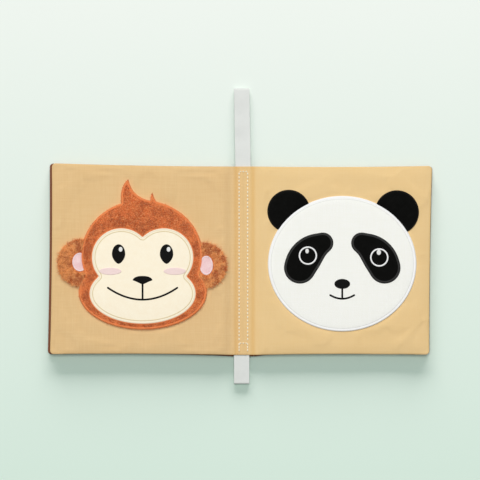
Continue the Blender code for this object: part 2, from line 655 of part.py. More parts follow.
def add_panda(page):
    width = PANDA_WIDTH
    centre = np.array([PANDA_FROM_SPINE, -PANDA_DROP])
    angles = np.linspace(0, 2 * math.pi, 72, endpoint=False)
    face = width * polar(angles, farthest_ray(angles, PANDA_FACE_SHARES))
    add_prism("panda_face", centre + face, FIRST_LAYER, PANDA_CLOTH, "white cotton", page)

    patch_low = FIRST_LAYER + PANDA_CLOTH + CLEARANCE
    ring_low = patch_low + PATCH + CLEARANCE
    outer, inner = (width * share for share in PANDA_RING_SHARES)
    for side, word, place_shares, glint_shares in (
        (LEFT, "left", PANDA_LEFT_RING_PLACE_SHARES, PANDA_LEFT_GLINT_SHARES),
        (RIGHT, "right", PANDA_RIGHT_RING_PLACE_SHARES, PANDA_RIGHT_GLINT_SHARES),
    ):
        eye = f"panda_{word}_eye"
        bend_points = (np.array([side * x, y]) for x, y in PANDA_PATCH_SHARES)
        bean = centre + width * kidney(*bend_points, *PANDA_PATCH_RADIUS_SHARES, 14)
        add_prism(f"{eye}_patch", bean, patch_low, PATCH, "black felt", page)
        middle = centre + width * np.array(place_shares)
        glint_x, glint_y, half_width, half_height = (width * share for share in glint_shares)
        add_ring(f"{eye}_ring", middle, inner, outer, ring_low, page)
        glint = ellipse(middle + (glint_x, glint_y), half_width, half_height, 12)
        add_prism(f"{eye}_glint", glint, ring_low, PATCH, "white thread", page)
    nose_y, half_width, half_height = (width * s for s in PANDA_NOSE_SHARES[1:])
    nose = ellipse(centre + (0, nose_y), half_width, half_height, 28)
    add_prism("panda_nose", nose, patch_low, PATCH, "black thread", page)
    half_span, corner, lowest = (width * s for s in PANDA_SMILE_SHARES)
    stem_top = nose_y - half_height - CLEARANCE
    mouth = smile(half_span, corner, lowest, stem_top, SMILE_WIDTH, 17)
    add_prism("panda_mouth", centre + mouth, patch_low, PATCH, "black thread", page, 0)

    for word, shares in (("left", PANDA_LEFT_EAR_SHARES), ("right", PANDA_RIGHT_EAR_SHARES)):
        x, y, radius = (width * share for share in shares)
        offset = np.array([x, y])
        outward = offset / np.linalg.norm(offset)
        base, _, outline = ear_layout(centre, face, offset, radius, outward)
        pivot = add_pivot(f"panda_{word}_ear_hinge", (*base, FIRST_LAYER), page)
        add_ear(f"panda_{word}_ear", outline, base, outward, "black felt", pivot)


def add_ring(name, middle, inner, outer, low, pivot):
    """A flat ring of thread, from a circle's outline spun into a closed band."""
    bm = bmesh.new()
    profile = [(inner, low), (outer, low), (outer, low + PATCH), (inner, low + PATCH)]
    corners = [bm.verts.new((middle[0] + r, middle[1], z)) for r, z in profile]
    edges = [bm.edges.new((corners[i - 1], corners[i])) for i in range(len(corners))]
    turn = {"cent": (*middle, 0), "axis": UP, "angle": 2 * math.pi, "steps": 28}
    bmesh.ops.spin(bm, geom=corners + edges, use_merge=True, **turn)
    bmesh.ops.remove_doubles(bm, verts=bm.verts, dist=WELD)
    return add_piece(name, bm, "white thread", pivot)


def build():
    clear_scene()
    root = add_pivot("book_root", (0, 0, 0))
    root.location = (BOOK_X, BOOK_Y, 0)
    spine = add_pivot("spine", (0, 0, 0), root)

    add_band("page_sheet_spine", PAGE_HINGE, PAGE_HALF, PAGE_HALF, "ochre cotton", spine)
    add_band("cover_sheet_spine", COVER_HINGE, COVER_TOP, COVER_BOTTOM, "rust cotton", spine)
    add_tape(spine)
    add_thread(spine)

    pages = {}
    for side, word, reach, proud in (
        (LEFT, "left", LEFT_PAGE_REACH, COVER_PROUD_LEFT),
        (RIGHT, "right", RIGHT_PAGE_REACH, COVER_PROUD_RIGHT),
    ):
        hinge_x = side * SPINE_HALF_WIDTH
        page = add_pivot(f"{word}_page_hinge", (hinge_x, 0, PAGE_HINGE), spine)
        cover = add_pivot(f"{word}_cover_hinge", (hinge_x, 0, COVER_HINGE), page)
        leaf = Leaf(side, reach, PAGE_HALF, PAGE_HALF, PAGE_HINGE, PAGE_SEAM)
        leaf.add_layers(f"{word}_page", "front_cloth", "back_cloth", "ochre cotton", page)
        leaf = Leaf(side, reach + proud, COVER_TOP, COVER_BOTTOM, COVER_HINGE, COVER_SEAM)
        leaf.add_layers(f"{word}_cover", "inner_cloth", "outer_cloth", "rust cotton", cover)
        pages[word] = page

    add_monkey(pages["left"])
    add_panda(pages["right"])

    for word, side, offset, lean, reach in (
        ("top", 1, TOP_RIBBON_OFFSET, TOP_LOOP_LEAN, TOP_LOOP_REACH),
        ("bottom", -1, BOTTOM_RIBBON_OFFSET, 0, BOTTOM_LOOP_REACH),
    ):
        place = (offset, side * (PAGE_HALF + LOOP_STANDOFF), SHEET_MIDDLE)
        pivot = add_pivot(f"{word}_loop_hinge", place, spine)
        add_loop(f"{word}_ribbon_loop", side, offset, lean, reach, pivot)


build()
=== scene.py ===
"""The looks of a crinkle cloth book that lies open at its middle spread.

Lengths are in metres. Shapes are worked out from the middle of the spine, at table height, with
+X to the right, +Y towards the top of the pages and +Z up, and Spread.origin carries them into
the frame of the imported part. Heights of sewn pieces come from the ground that they lie on, so
each follows the padding under it.
"""

from __future__ import annotations

import json
import logging
import math
from dataclasses import dataclass
from enum import Enum
from typing import Callable, ClassVar, Iterable, Sequence

import bmesh
import bpy
import numpy as np
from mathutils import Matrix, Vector

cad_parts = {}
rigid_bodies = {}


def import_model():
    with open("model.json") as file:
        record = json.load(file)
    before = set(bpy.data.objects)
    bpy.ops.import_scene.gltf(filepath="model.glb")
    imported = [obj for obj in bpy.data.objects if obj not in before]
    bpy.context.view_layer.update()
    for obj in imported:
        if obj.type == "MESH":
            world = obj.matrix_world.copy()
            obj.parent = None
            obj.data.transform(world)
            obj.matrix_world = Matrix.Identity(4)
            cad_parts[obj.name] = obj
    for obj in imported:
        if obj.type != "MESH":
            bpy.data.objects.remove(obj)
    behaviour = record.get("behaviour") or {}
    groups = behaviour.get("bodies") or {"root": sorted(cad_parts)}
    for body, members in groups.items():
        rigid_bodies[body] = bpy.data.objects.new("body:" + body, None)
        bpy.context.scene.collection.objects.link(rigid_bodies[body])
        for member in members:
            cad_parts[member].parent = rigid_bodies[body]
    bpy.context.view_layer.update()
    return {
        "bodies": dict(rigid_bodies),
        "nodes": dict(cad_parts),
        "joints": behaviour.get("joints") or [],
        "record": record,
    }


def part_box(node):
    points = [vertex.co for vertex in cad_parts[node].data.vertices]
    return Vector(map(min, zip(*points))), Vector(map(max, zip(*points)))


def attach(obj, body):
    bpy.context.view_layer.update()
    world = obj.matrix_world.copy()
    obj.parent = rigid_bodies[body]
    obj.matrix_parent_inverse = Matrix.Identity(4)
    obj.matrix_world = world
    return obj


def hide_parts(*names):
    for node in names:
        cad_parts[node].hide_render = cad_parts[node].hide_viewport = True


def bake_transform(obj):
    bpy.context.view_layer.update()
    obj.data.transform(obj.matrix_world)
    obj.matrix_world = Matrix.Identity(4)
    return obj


MM = 0.001
FULL_TURN = 2 * math.pi
HALFWAY = 0.55  # how far up a tuft its middle ring is
BLOCK = 3000  # points that are compared with a line at a time
LOG = logging.getLogger("cloth_book")
Array = np.ndarray
Piece = bpy.types.Object
Material = bpy.types.Material
Colour = tuple[float, float, float]
Shares = tuple[float, ...]
Heights = Callable[[Array], Array]  # a value for each point in plan


class Side(Enum):
    """Which half of the spread a piece is on."""

    LEFT = -1
    RIGHT = 1

    @property
    def word(self) -> str:
        """The side's name in piece names."""
        return self.name.lower()


class Face(Enum):
    """Which of a leaf's two cloths a shell is."""

    UPPER = 1
    LOWER = -1


def tint(red: int, green: int, blue: int) -> Colour:
    """A colour as a screen shows it, from 0 to 255, in linear light.

    Args:
        red: The red share.
        green: The green share.
        blue: The blue share.

    Returns:
        The three linear shares, from 0 to 1.
    """
    shares = np.array([red, green, blue]) / 255
    low = shares / 12.92
    high = ((shares + 0.055) / 1.055) ** 2.4
    return tuple(float(v) for v in np.where(shares <= 0.04045, low, high))


# Shader nodes


class Socket:
    """A shader socket on which Python's arithmetic adds Math nodes."""

    def __init__(self, bench: FinishBench, output: bpy.types.NodeSocket | None) -> None:
        """Wraps one output of a node on the bench, if it has any."""
        self.bench = bench
        self.output = output

    def maths(self, operation: str, *values: Socket | float) -> Socket:
        """A Math node on these values."""
        return self.bench.node("ShaderNodeMath", {"operation": operation}, dict(enumerate(values)))

    def __add__(self, other: Socket | float) -> Socket:
        """The sum."""
        return self.maths("ADD", self, other)

    __radd__ = __add__

    def __sub__(self, other: Socket | float) -> Socket:
        """The difference."""
        return self.maths("SUBTRACT", self, other)

    def __rsub__(self, other: Socket | float) -> Socket:
        """The difference, the other way round."""
        return self.maths("SUBTRACT", other, self)

    def __mul__(self, other: Socket | float) -> Socket:
        """The product."""
        return self.maths("MULTIPLY", self, other)

    __rmul__ = __mul__

    def __truediv__(self, other: Socket | float) -> Socket:
        """The quotient."""
        return self.maths("DIVIDE", self, other)

    def __rtruediv__(self, other: Socket | float) -> Socket:
        """The quotient, the other way round."""
        return self.maths("DIVIDE", other, self)

    def __pow__(self, other: Socket | float) -> Socket:
        """The power."""
        return self.maths("POWER", self, other)

    def __rpow__(self, other: Socket | float) -> Socket:
        """The power, the other way round."""
        return self.maths("POWER", other, self)

    def size(self) -> Socket:
        """The value without its sign."""
        return self.maths("ABSOLUTE", self)

    def wave(self, pitch: float) -> Socket:
        """A sine of the value that comes round once in each pitch."""
        return self.maths("SINE", self * (FULL_TURN / pitch))

    def ease(self, start: float, stop: float) -> Socket:
        """The value's smooth rise from 0 at start to 1 at stop."""
        sockets = {"Value": self, "From Min": start, "From Max": stop}
        return self.bench.node("ShaderNodeMapRange", {"interpolation_type": "SMOOTHSTEP"}, sockets)


class FinishBench:
    """A material's nodes, made one at a time."""

    def __init__(self, name: str) -> None:
        """Starts a material with no nodes.

        Args:
            name: The material's name.
        """
        self.material = bpy.data.materials.new(name)
        self.material.use_nodes = True
        self.tree = self.material.node_tree
        self.tree.nodes.clear()

    def node(
        self,
        kind: str,
        settings: dict[str, object] | None = None,
        sockets: dict[int | str, object] | None = None,
        output: int | str = 0,
    ) -> Socket:
        """Makes a node, its settings before its sockets.

        Args:
            kind: The node's type.
            settings: Its own settings by name.
            sockets: Its inputs by name or number, each a value or another node's socket.
            output: The output that the caller goes on with.

        Returns:
            That output.
        """
        made = self.tree.nodes.new(kind)
        for name, value in (settings or {}).items():
            setattr(made, name, value)
        for key, value in (sockets or {}).items():
            if isinstance(value, Socket):
                self.tree.links.new(value.output, made.inputs[key])
            else:
                made.inputs[key].default_value = value
        return Socket(self, made.outputs[output] if made.outputs else None)

    def place(self) -> Socket:
        """Where a point of the surface is, in metres in the part's frame."""
        return self.node("ShaderNodeTexCoord", output="Object")

    def along_and_across(self) -> tuple[Socket, Socket]:
        """The piece's own map: metres along a thread or tape, and the share across it."""
        uv = self.node("ShaderNodeTexCoord", output="UV")
        return self.axis(uv, "X"), self.axis(uv, "Y")

    def axis(self, vector: Socket, name: str) -> Socket:
        """One of a vector's three parts."""
        return self.node("ShaderNodeSeparateXYZ", None, {0: vector}, name)

    def mark(self, name: str) -> Socket:
        """A number that the mesh keeps at each point."""
        return self.node("ShaderNodeAttribute", {"attribute_name": name}, output="Fac")

    def stretched(self, vector: Socket, scale: Sequence[float], turn: float = 0) -> Socket:
        """A place turned about Z and then scaled along each axis."""
        sockets = {"Vector": vector, "Rotation": (0, 0, turn), "Scale": tuple(scale)}
        return self.node("ShaderNodeMapping", None, sockets)

    def noise(self, vector: Socket, scale: float, detail: float = 2, rough: float = 0.5) -> Socket:
        """Smooth noise about 0.5, with so many lumps to the unit."""
        sockets = {"Vector": vector, "Scale": scale, "Detail": detail, "Roughness": rough}
        return self.node("ShaderNodeTexNoise", None, sockets)

    def mixed(self, share: Socket, first: object, second: object, way: str = "MIX") -> Socket:
        """A colour between two, or with MULTIPLY the first shaded by a share of the second."""
        sockets = {0: share, 6: self.paint(first), 7: self.paint(second)}
        return self.node("ShaderNodeMix", {"data_type": "RGBA", "blend_type": way}, sockets, 2)

    def paint(self, colour: object) -> object:
        """A colour with its alpha, or a socket as it is."""
        return colour if isinstance(colour, Socket) else (*colour, 1)

    def bump(self, height: Socket, depth: float) -> Socket:
        """The normal over a height field of that depth in metres."""
        sockets = {"Height": height, "Distance": depth, "Strength": 1.0}
        return self.node("ShaderNodeBump", None, sockets)

    def surface(self, colour: Socket, roughness: Socket | float, **sockets: object) -> Material:
        """Ends the material in a Principled shader.

        Args:
            colour: Its colour.
            roughness: Its roughness.
            sockets: Its other inputs, with _ for a space in a name.

        Returns:
            The material.
        """
        named = {key.replace("_", " "): value for key, value in sockets.items()}
        named |= {"Base Color": colour, "Roughness": roughness}
        shader = self.node("ShaderNodeBsdfPrincipled", None, named)
        self.node("ShaderNodeOutputMaterial", None, {"Surface": shader})
        return self.material


@dataclass(frozen=True)
class Finish:
    """What a piece is finished in."""

    name: str

    def make(self) -> Material:
        """The material, which each kind of finish makes in its own way."""
        raise NotImplementedError


@dataclass(frozen=True)
class WovenCotton(Finish):
    """Plain woven cotton with uneven yarns, in which some run thicker for a stretch. A left
    colour passes into the other over the spine."""

    colour: Colour
    thick_yarn: Colour
    left_colour: Colour | None = None
    fold_shade: Colour = (0.95, 0.87, 0.72)
    pitch: float = 0.42 * MM
    yarn_depth: float = 0.10 * MM
    unevenness: float = 0.5
    cloudiness: float = 0.35
    passage: float = 14 * MM

    def make(self) -> Material:
        """Weaves two crossed sets of yarns, each a sine of the place over the pitch, with noise
        drawn out along them for their slubs.

        Returns:
            The cloth's material.
        """
        bench = FinishBench(self.name)
        place = bench.place()
        own: object = self.colour
        if self.left_colour:
            middle = float(Spread.origin[0])
            share = bench.axis(place, "X").ease(middle - self.passage, middle + self.passage)
            own = bench.mixed(share, self.left_colour, self.colour)
        wander = bench.noise(place, 220, 2) * (0.6 * MM)
        weft = (bench.axis(place, "Y") + wander).wave(self.pitch)
        warp = (bench.axis(place, "X") + wander).wave(self.pitch)
        slubs = bench.noise(bench.stretched(place, (60, 1900, 60)), 1, 3, 0.6)
        slubs = slubs + bench.noise(bench.stretched(place, (1900, 60, 60)), 1, 3, 0.6)
        clouds = bench.noise(place, 26, 4, 0.6).ease(0.3, 0.75)
        paler = bench.mixed(slubs.ease(0.8, 1.28) * self.unevenness, own, self.thick_yarn)
        # Painted shade: by the fold mark this darker tint is multiplied in over the gutter by the
        # spine and along the sewn edges, with a share over the whole spine; it also deepens the
        # random clouds.
        shade = self.fold_shade
        clouded = bench.mixed(clouds * self.cloudiness * 0.5, paler, shade, "MULTIPLY")
        colour = bench.mixed(bench.mark("fold"), clouded, shade, "MULTIPLY")
        normal = bench.bump((weft * warp + slubs) * 0.5, self.yarn_depth)
        return bench.surface(colour, 0.88, Sheen_Weight=0.12, Specular_IOR_Level=0.2, Normal=normal)


@dataclass(frozen=True)
class Pile(Finish):
    """The tufts of a plush, dark between them and pale at their ends. The paleness is a
    painted highlight.
    """

    deep: Colour
    middle: Colour
    pale: Colour

    def make(self) -> Material:
        """Shades each tuft by its own number, by patches and by the height up it.

        Returns:
            The pile's material.
        """
        bench = FinishBench(self.name)
        place = bench.place()
        patches = bench.noise(place, 150, 5, 0.7).ease(0.36, 0.64)
        swirl = bench.noise(place, 620, 2, 0.6)
        tone = (bench.mark("shade") * 0.42 + patches * 0.46 + swirl * 0.22).ease(0.24, 0.74)
        body = bench.mixed(tone, self.deep, self.middle)
        # Painted highlight: the tips pass to the pale colour, most on tufts with a high shade
        # number.
        tips = bench.mark("rise") ** 2.0 * bench.mark("shade")
        colour = bench.mixed(tips * 0.75, body, self.pale)
        fuzz = {"Sheen_Weight": 0.2, "Sheen_Roughness": 0.4, "Specular_IOR_Level": 0.15}
        return bench.surface(colour, 0.9, **fuzz)


@dataclass(frozen=True)
class Felt(Finish):
    """Pressed fibres with no weave."""

    colour: Colour
    fibre: Colour
    depth: float = 0.12 * MM
    sheen: float = 0.1
    gloss: float = 0.15

    def make(self) -> Material:
        """Lays two noises, drawn out along crossed directions, for fibres.

        Returns:
            The felt's material.
        """
        bench = FinishBench(self.name)
        place = bench.place()
        one = bench.noise(bench.stretched(place, (2600, 700, 900), 0.6), 1, 3, 0.7)
        two = bench.noise(bench.stretched(place, (700, 2600, 900), 0.2), 1, 3, 0.7)
        lumps = bench.noise(place, 190, 3, 0.6)
        fibres = one * 0.5 + two * 0.5
        colour = bench.mixed((fibres * 0.7 + lumps * 0.3).ease(0.35, 0.72), self.colour, self.fibre)
        normal = bench.bump(fibres + lumps * 0.6, self.depth)
        nap = {"Sheen_Weight": self.sheen, "Specular_IOR_Level": self.gloss}
        return bench.surface(colour, 0.95, Normal=normal, **nap)


@dataclass(frozen=True)
class SatinStitch(Finish):
    """Embroidery thread laid side by side across a line."""

    colour: Colour
    gap: Colour
    pitch: float = 0.42 * MM
    roughness: float = 0.42
    gloss: float = 0.35

    def make(self) -> Material:
        """Lays threads by a sine of the length along the line over the pitch.

        Returns:
            The stitching's material.
        """
        bench = FinishBench(self.name)
        along, across = bench.along_and_across()
        place = bench.place()
        slip = bench.noise(place, 900, 1) * (0.5 * self.pitch)
        slant = along + across * (0.5 * self.pitch) + slip
        thread = slant.wave(self.pitch) * 0.5 + 0.5
        uneven = bench.noise(place, 420, 2)
        # Painted shade: the gap colour, darker than the thread, lies in the grooves between the
        # threads.
        laid = bench.mixed((thread * 0.75 + uneven * 0.45).ease(0.1, 0.8), self.gap, self.colour)
        normal = bench.bump(thread, 0.09 * MM)
        shine = {"Sheen_Weight": self.gloss * 0.3, "Specular_IOR_Level": self.gloss}
        return bench.surface(laid, self.roughness, Normal=normal, **shine)


@dataclass(frozen=True)
class FillStitch(Finish):
    """Embroidery thread laid side by side over a whole shape, all one way."""

    colour: Colour
    gap: Colour
    turn: float = 0
    pitch: float = 0.38 * MM
    gloss: float = 0.35

    def make(self) -> Material:
        """Lays threads by a sine of the place across them over the pitch, with short breaks
        along them where a stitch ends.

        Returns:
            The filling's material.
        """
        bench = FinishBench(self.name)
        place = bench.stretched(bench.place(), (1, 1, 1), self.turn)
        across, along = bench.axis(place, "X"), bench.axis(place, "Y")
        slip = bench.noise(place, 700, 1) * (0.6 * self.pitch)
        thread = (across + slip).wave(self.pitch) * 0.5 + 0.5
        ends = (along + across * 3.7).wave(2.6 * MM).ease(0.82, 1.0)
        # Painted shade: the gap colour lies in the grooves between the threads and in the breaks at
        # stitch ends.
        colour = bench.mixed((thread - ends * 0.6).ease(0.05, 0.8), self.gap, self.colour)
        normal = bench.bump(thread - ends * 0.5, 0.08 * MM)
        shine = {"Sheen_Weight": self.gloss * 0.3, "Specular_IOR_Level": self.gloss}
        return bench.surface(colour, 0.45, Normal=normal, **shine)


@dataclass(frozen=True)
class WovenTape(Finish):
    """A narrow woven tape, with fine ribs across it and a firmer selvedge at both edges."""

    colour: Colour
    shadow: Colour
    rib: float = 0.5 * MM
    warp_count: float = 34

    def make(self) -> Material:
        """Weaves ribs by a sine of the length and warps by a sine of the width.

        Returns:
            The tape's material.
        """
        bench = FinishBench(self.name)
        along, across = bench.along_and_across()
        ribs, warps = along.wave(self.rib), across.wave(1 / self.warp_count)
        edge = (across - 0.5).size()
        selvedge = edge.ease(0.43, 0.46) - edge.ease(0.47, 0.5) * 0.5
        weave = (ribs * warps) * 0.35 + ribs * 0.25 + selvedge * 0.8
        soil = bench.noise(bench.place(), 60, 3).ease(0.35, 0.8)
        colour = bench.mixed((0.5 - ribs * 0.5) * 0.35 + soil * 0.25, self.colour, self.shadow)
        normal = bench.bump(weave, 0.06 * MM)
        return bench.surface(colour, 0.6, Sheen_Weight=0.15, Specular_IOR_Level=0.35, Normal=normal)


@dataclass(frozen=True)
class TwistedThread(Finish):
    """Sewing thread of two plies."""

    colour: Colour
    shadow: Colour
    lay: float = 0.9 * MM

    def make(self) -> Material:
        """Winds two plies by a sine that goes round the thread once in each lay.

        Returns:
            The thread's material.
        """
        bench = FinishBench(self.name)
        along, across = bench.along_and_across()
        ply = (along + across * (2 * self.lay)).wave(self.lay) * 0.5 + 0.5
        colour = bench.mixed(ply.ease(0.05, 0.6), self.shadow, self.colour)
        normal = bench.bump(ply, 0.08 * MM)
        return bench.surface(colour, 0.55, Specular_IOR_Level=0.3, Normal=normal)


@dataclass(frozen=True)
class CrinkleFilm(Finish):
    """Thin clear film that has been crumpled."""

    colour: Colour

    def make(self) -> Material:
        """Draws creases between flat facets.

        Returns:
            The film's material.
        """
        bench = FinishBench(self.name)
        sockets = {"Vector": bench.place(), "Scale": 130.0}
        facets = bench.node("ShaderNodeTexVoronoi", None, sockets, "Distance")
        colour = bench.mixed(facets * 0.4, self.colour, (1, 1, 1))
        normal = bench.bump(facets, 0.5 * MM)
        return bench.surface(colour, 0.2 + facets * 0.2, Specular_IOR_Level=0.6, Normal=normal)


@dataclass(frozen=True)
class Wadding(Finish):
    """Soft bonded fibre."""

    colour: Colour

    def make(self) -> Material:
        """Tangles fibres by a noise drawn out along them.

        Returns:
            The wadding's material.
        """
        bench = FinishBench(self.name)
        fibres = bench.noise(bench.stretched(bench.place(), (900, 300, 600), 0.5), 1, 6, 0.75)
        shadow = tuple(v * 0.8 for v in self.colour)
        colour = bench.mixed(fibres.ease(0.3, 0.7), shadow, self.colour)
        return bench.surface(colour, 1.0, Normal=bench.bump(fibres, 0.4 * MM))


@dataclass(frozen=True)
class Tabletop(Finish):
    """A plain pale surface, a little paler towards the top of the pages."""

    far: Colour
    near: Colour
    far_at: float = 180 * MM
    near_at: float = -185 * MM

    def make(self) -> Material:
        """Passes from one colour to the other by the place along Y.

        Returns:
            The surface's material.
        """
        bench = FinishBench(self.name)
        share = (bench.axis(bench.place(), "Y") - self.near_at) / (self.far_at - self.near_at)
        clamped = bench.node("ShaderNodeClamp", None, {0: share})
        colour = bench.mixed(clamped, self.near, self.far)
        return bench.surface(colour, 0.9, Specular_IOR_Level=0.1)


class Finishes:
    """Every finish of the book, each made once."""

    OCHRE = WovenCotton(
        "ochre_cotton",
        tint(240, 206, 149),
        tint(242, 211, 159),
        left_colour=tint(231, 194, 140),
        unevenness=0.34,
    )
    RUST = WovenCotton("rust_cotton", tint(126, 78, 54), tint(142, 92, 66))
    WHITE = WovenCotton(
        "white_cotton", tint(252, 252, 245), tint(255, 255, 251), unevenness=0.7, cloudiness=0.08
    )
    RUSSET_PILE = Pile("russet_pile", tint(180, 68, 20), tint(248, 146, 76), tint(255, 222, 166))
    RUSSET_GROUND = Felt("russet_ground", tint(196, 96, 46), tint(226, 130, 76))
    EAR_PILE = Pile("ear_pile", tint(188, 76, 26), tint(255, 172, 96), tint(255, 226, 168))
    CREAM_FELT = Felt("cream_felt", tint(249, 236, 210), tint(253, 245, 224), depth=0.05 * MM)
    PINK_FELT = Felt("pink_felt", tint(230, 188, 189), tint(249, 224, 223), depth=0.2 * MM)
    BLACK_FELT = Felt("black_felt", tint(9, 9, 8), tint(18, 18, 17), sheen=0.0, gloss=0.05)
    RUSSET_SATIN = SatinStitch("russet_satin", tint(252, 150, 84), tint(214, 100, 44))
    CREAM_SATIN = SatinStitch(
        "cream_satin", tint(254, 244, 220), tint(244, 230, 200), roughness=0.7, gloss=0.1
    )
    WHITE_SATIN = SatinStitch(
        "white_satin", tint(255, 255, 255), tint(251, 251, 250), roughness=0.7, gloss=0.15
    )
    GREY_SATIN = SatinStitch("charcoal_satin", tint(58, 58, 57), tint(34, 34, 34), gloss=0.1)
    PINK_SATIN = SatinStitch("pink_satin", tint(253, 238, 238), tint(240, 212, 214))
    BLACK_SATIN = SatinStitch(
        "black_satin", tint(15, 15, 14), tint(5, 5, 5), roughness=0.7, gloss=0.1
    )
    BLACK_FILL = FillStitch("black_fill", tint(18, 18, 17), tint(5, 5, 5), turn=0.3, gloss=0.1)
    PINK_FILL = FillStitch("pink_fill", tint(255, 234, 230), tint(249, 218, 213), turn=1.4)
    WHITE_FILL = FillStitch("white_fill", tint(255, 255, 253), tint(222, 222, 218))
    TAPE = WovenTape("white_tape", tint(228, 230, 226), tint(196, 199, 196))
    WHITE_THREAD = TwistedThread("white_thread", tint(255, 250, 232), tint(242, 226, 192))
    TAN_SATIN = SatinStitch("tan_satin", tint(236, 218, 176), tint(222, 202, 156))
    PALE_SATIN = SatinStitch("pale_satin", tint(243, 243, 239), tint(230, 230, 226), gloss=0.1)
    FILM = CrinkleFilm("crinkle_film", tint(214, 218, 222))
    WADDING = Wadding("wadding", tint(240, 240, 238))

    made: dict[str, Material] = {}

    @classmethod
    def of(cls, finish: Finish) -> Material:
        """The material of a finish, made when it is first asked for."""
        made = cls.made.get(finish.name) or finish.make()
        return cls.made.setdefault(finish.name, made)


# Meshes


@dataclass
class Skin:
    """A surface in the making: its points, its faces, and a map and numbers kept on it."""

    points: Array
    faces: list[Array]
    corner_map: Array | None = None
    marks: dict[str, Array] | None = None

    def build(self, name: str, finish: Finish, crease: float = 50) -> Piece:
        """Makes the surface an object at the origin, facing outwards.

        Args:
            name: The piece's name.
            finish: What it is finished in.
            crease: The angle in degrees past which an edge stays sharp.

        Returns:
            The object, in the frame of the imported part.
        """
        mesh = bpy.data.meshes.new(name)
        faces = [row for block in self.faces for row in block.tolist()]
        mesh.from_pydata((self.points + Spread.origin).tolist(), [], faces)
        if self.corner_map is not None:
            layer = mesh.uv_layers.new(name="thread_map")
            layer.uv.foreach_set("vector", self.corner_map.astype(np.float32).ravel())
        for mark, values in (self.marks or {}).items():
            kept = mesh.attributes.new(mark, "FLOAT", "POINT")
            kept.data.foreach_set("value", values.astype(np.float32))
        turned = bmesh.new()
        turned.from_mesh(mesh)
        bmesh.ops.recalc_face_normals(turned, faces=turned.faces)
        turned.to_mesh(mesh)
        turned.free()
        mesh.shade_smooth()
        mesh.set_sharp_from_angle(angle=math.radians(crease))
        mesh.materials.append(Finishes.of(finish))
        obj = bpy.data.objects.new(name, mesh)
        bpy.context.scene.collection.objects.link(obj)
        LOG.info("%s: %d faces", name, len(mesh.polygons))
        return obj


def patch_of(rows: int, columns: int, wrap_rows: bool, wrap_columns: bool) -> Array:
    """The faces of a grid of points, which may close on itself either way.

    Args:
        rows: Points along the first parameter.
        columns: Points along the second.
        wrap_rows: Whether the last row joins the first.
        wrap_columns: Whether the last column joins the first.

    Returns:
        Four point numbers to a face.
    """
    i = np.arange(rows if wrap_rows else rows - 1)[:, None]
    j = np.arange(columns if wrap_columns else columns - 1)[None]
    i, j = np.broadcast_arrays(i, j)
    up, across = (i + 1) % rows, (j + 1) % columns
    corners = [i * columns + j, up * columns + j, up * columns + across, i * columns + across]
    return np.stack([corner.ravel() for corner in corners], axis=1)


def corner_map_of(along: Array, across: Array) -> Array:
    """The map of a grid's faces, corner by corner, so that a closed ring has no jump.

    Args:
        along: The map's first value at each row, with one more where the rows close.
        across: The map's second value at each column, with one more where they close.

    Returns:
        Two values for each corner of each face.
    """
    i, j = np.meshgrid(np.arange(len(along) - 1), np.arange(len(across) - 1), indexing="ij")
    i, j = i.ravel(), j.ravel()
    first = np.stack([along[i], along[i + 1], along[i + 1], along[i]], axis=1)
    second = np.stack([across[j], across[j], across[j + 1], across[j + 1]], axis=1)
    return np.stack([first, second], axis=2).reshape(-1, 2)


def shell(outer: Array, inner: Array, marks: dict[str, Array] | None = None) -> Skin:
    """A closed layer between two grids of points, with its rim filled in.

    Args:
        outer: Points of the face that shows, by row and column.
        inner: Points of the face behind it.
        marks: Numbers kept at each of the outer points.

    Returns:
        The layer.
    """
    rows, columns = outer.shape[:2]
    count = rows * columns
    face = patch_of(rows, columns, False, False)
    index = np.arange(count).reshape(rows, columns)
    ring = np.concatenate([index[0], index[1:, -1], index[-1, -2::-1], index[-2:0:-1, 0]])
    after = np.roll(ring, -1)
    rim = np.stack([ring, after, after + count, ring + count], axis=1)
    points = np.concatenate([outer.reshape(-1, 3), inner.reshape(-1, 3)])
    doubled = {name: np.tile(values.ravel(), 2) for name, values in (marks or {}).items()}
    return Skin(points, [face, face[:, ::-1] + count, rim], None, doubled)


def spots_at(x: Array | float, y: Array | float) -> Array:
    """Points in plan from their two places, either of which may be one number for all."""
    return np.stack(np.broadcast_arrays(x, y), axis=-1)


def smooth_step(share: Array) -> Array:
    """A smooth rise from 0 to 1: the square of the share times 3 less twice the share."""
    share = np.clip(share, 0, 1)
    return share * share * (3 - 2 * share)


def dome(share: Array) -> Array:
    """A quarter circle's rise from 0 to 1: the root of 1 less the square of what is left."""
    return np.sqrt(1 - (1 - np.clip(share, 0, 1)) ** 2)


def spaced(low: float, high: float, step: float, fine: float, ends: Sequence[float]) -> Array:
    """Values from low to high that stand closer together over a stretch at both ends.

    Args:
        low: The first value.
        high: The last value.
        step: About how far apart they are.
        fine: How far apart over the two stretches.
        ends: How long these are.

    Returns:
        The values.
    """
    first, last = ends
    near, far = (max(3, round(end / fine)) for end in ends)
    between = max(4, round((high - low - first - last) / step))
    start = np.linspace(low, low + first, near, endpoint=False)
    middle = np.linspace(low + first, high - last, between)
    return np.concatenate([start, middle, np.linspace(high - last, high, far + 1)[1:]])


def ripples(places: Array, length: float, seed: int) -> Array:
    """A gentle uneven surface: the mean of sines that run in many directions.

    Args:
        places: Points in plan.
        length: The middle length of a ripple.
        seed: Which of the many such surfaces this is.

    Returns:
        A height about 0 for each point, rarely past 1.
    """
    dice, count = np.random.default_rng(seed), 14
    turn = dice.uniform(0, FULL_TURN, count)
    rate = FULL_TURN / (length * dice.uniform(0.6, 1.7, count))
    phase = dice.uniform(0, FULL_TURN, count)
    run = places[..., :1] * np.cos(turn) + places[..., 1:2] * np.sin(turn)
    return np.sin(run * rate + phase).sum(-1) / math.sqrt(count)


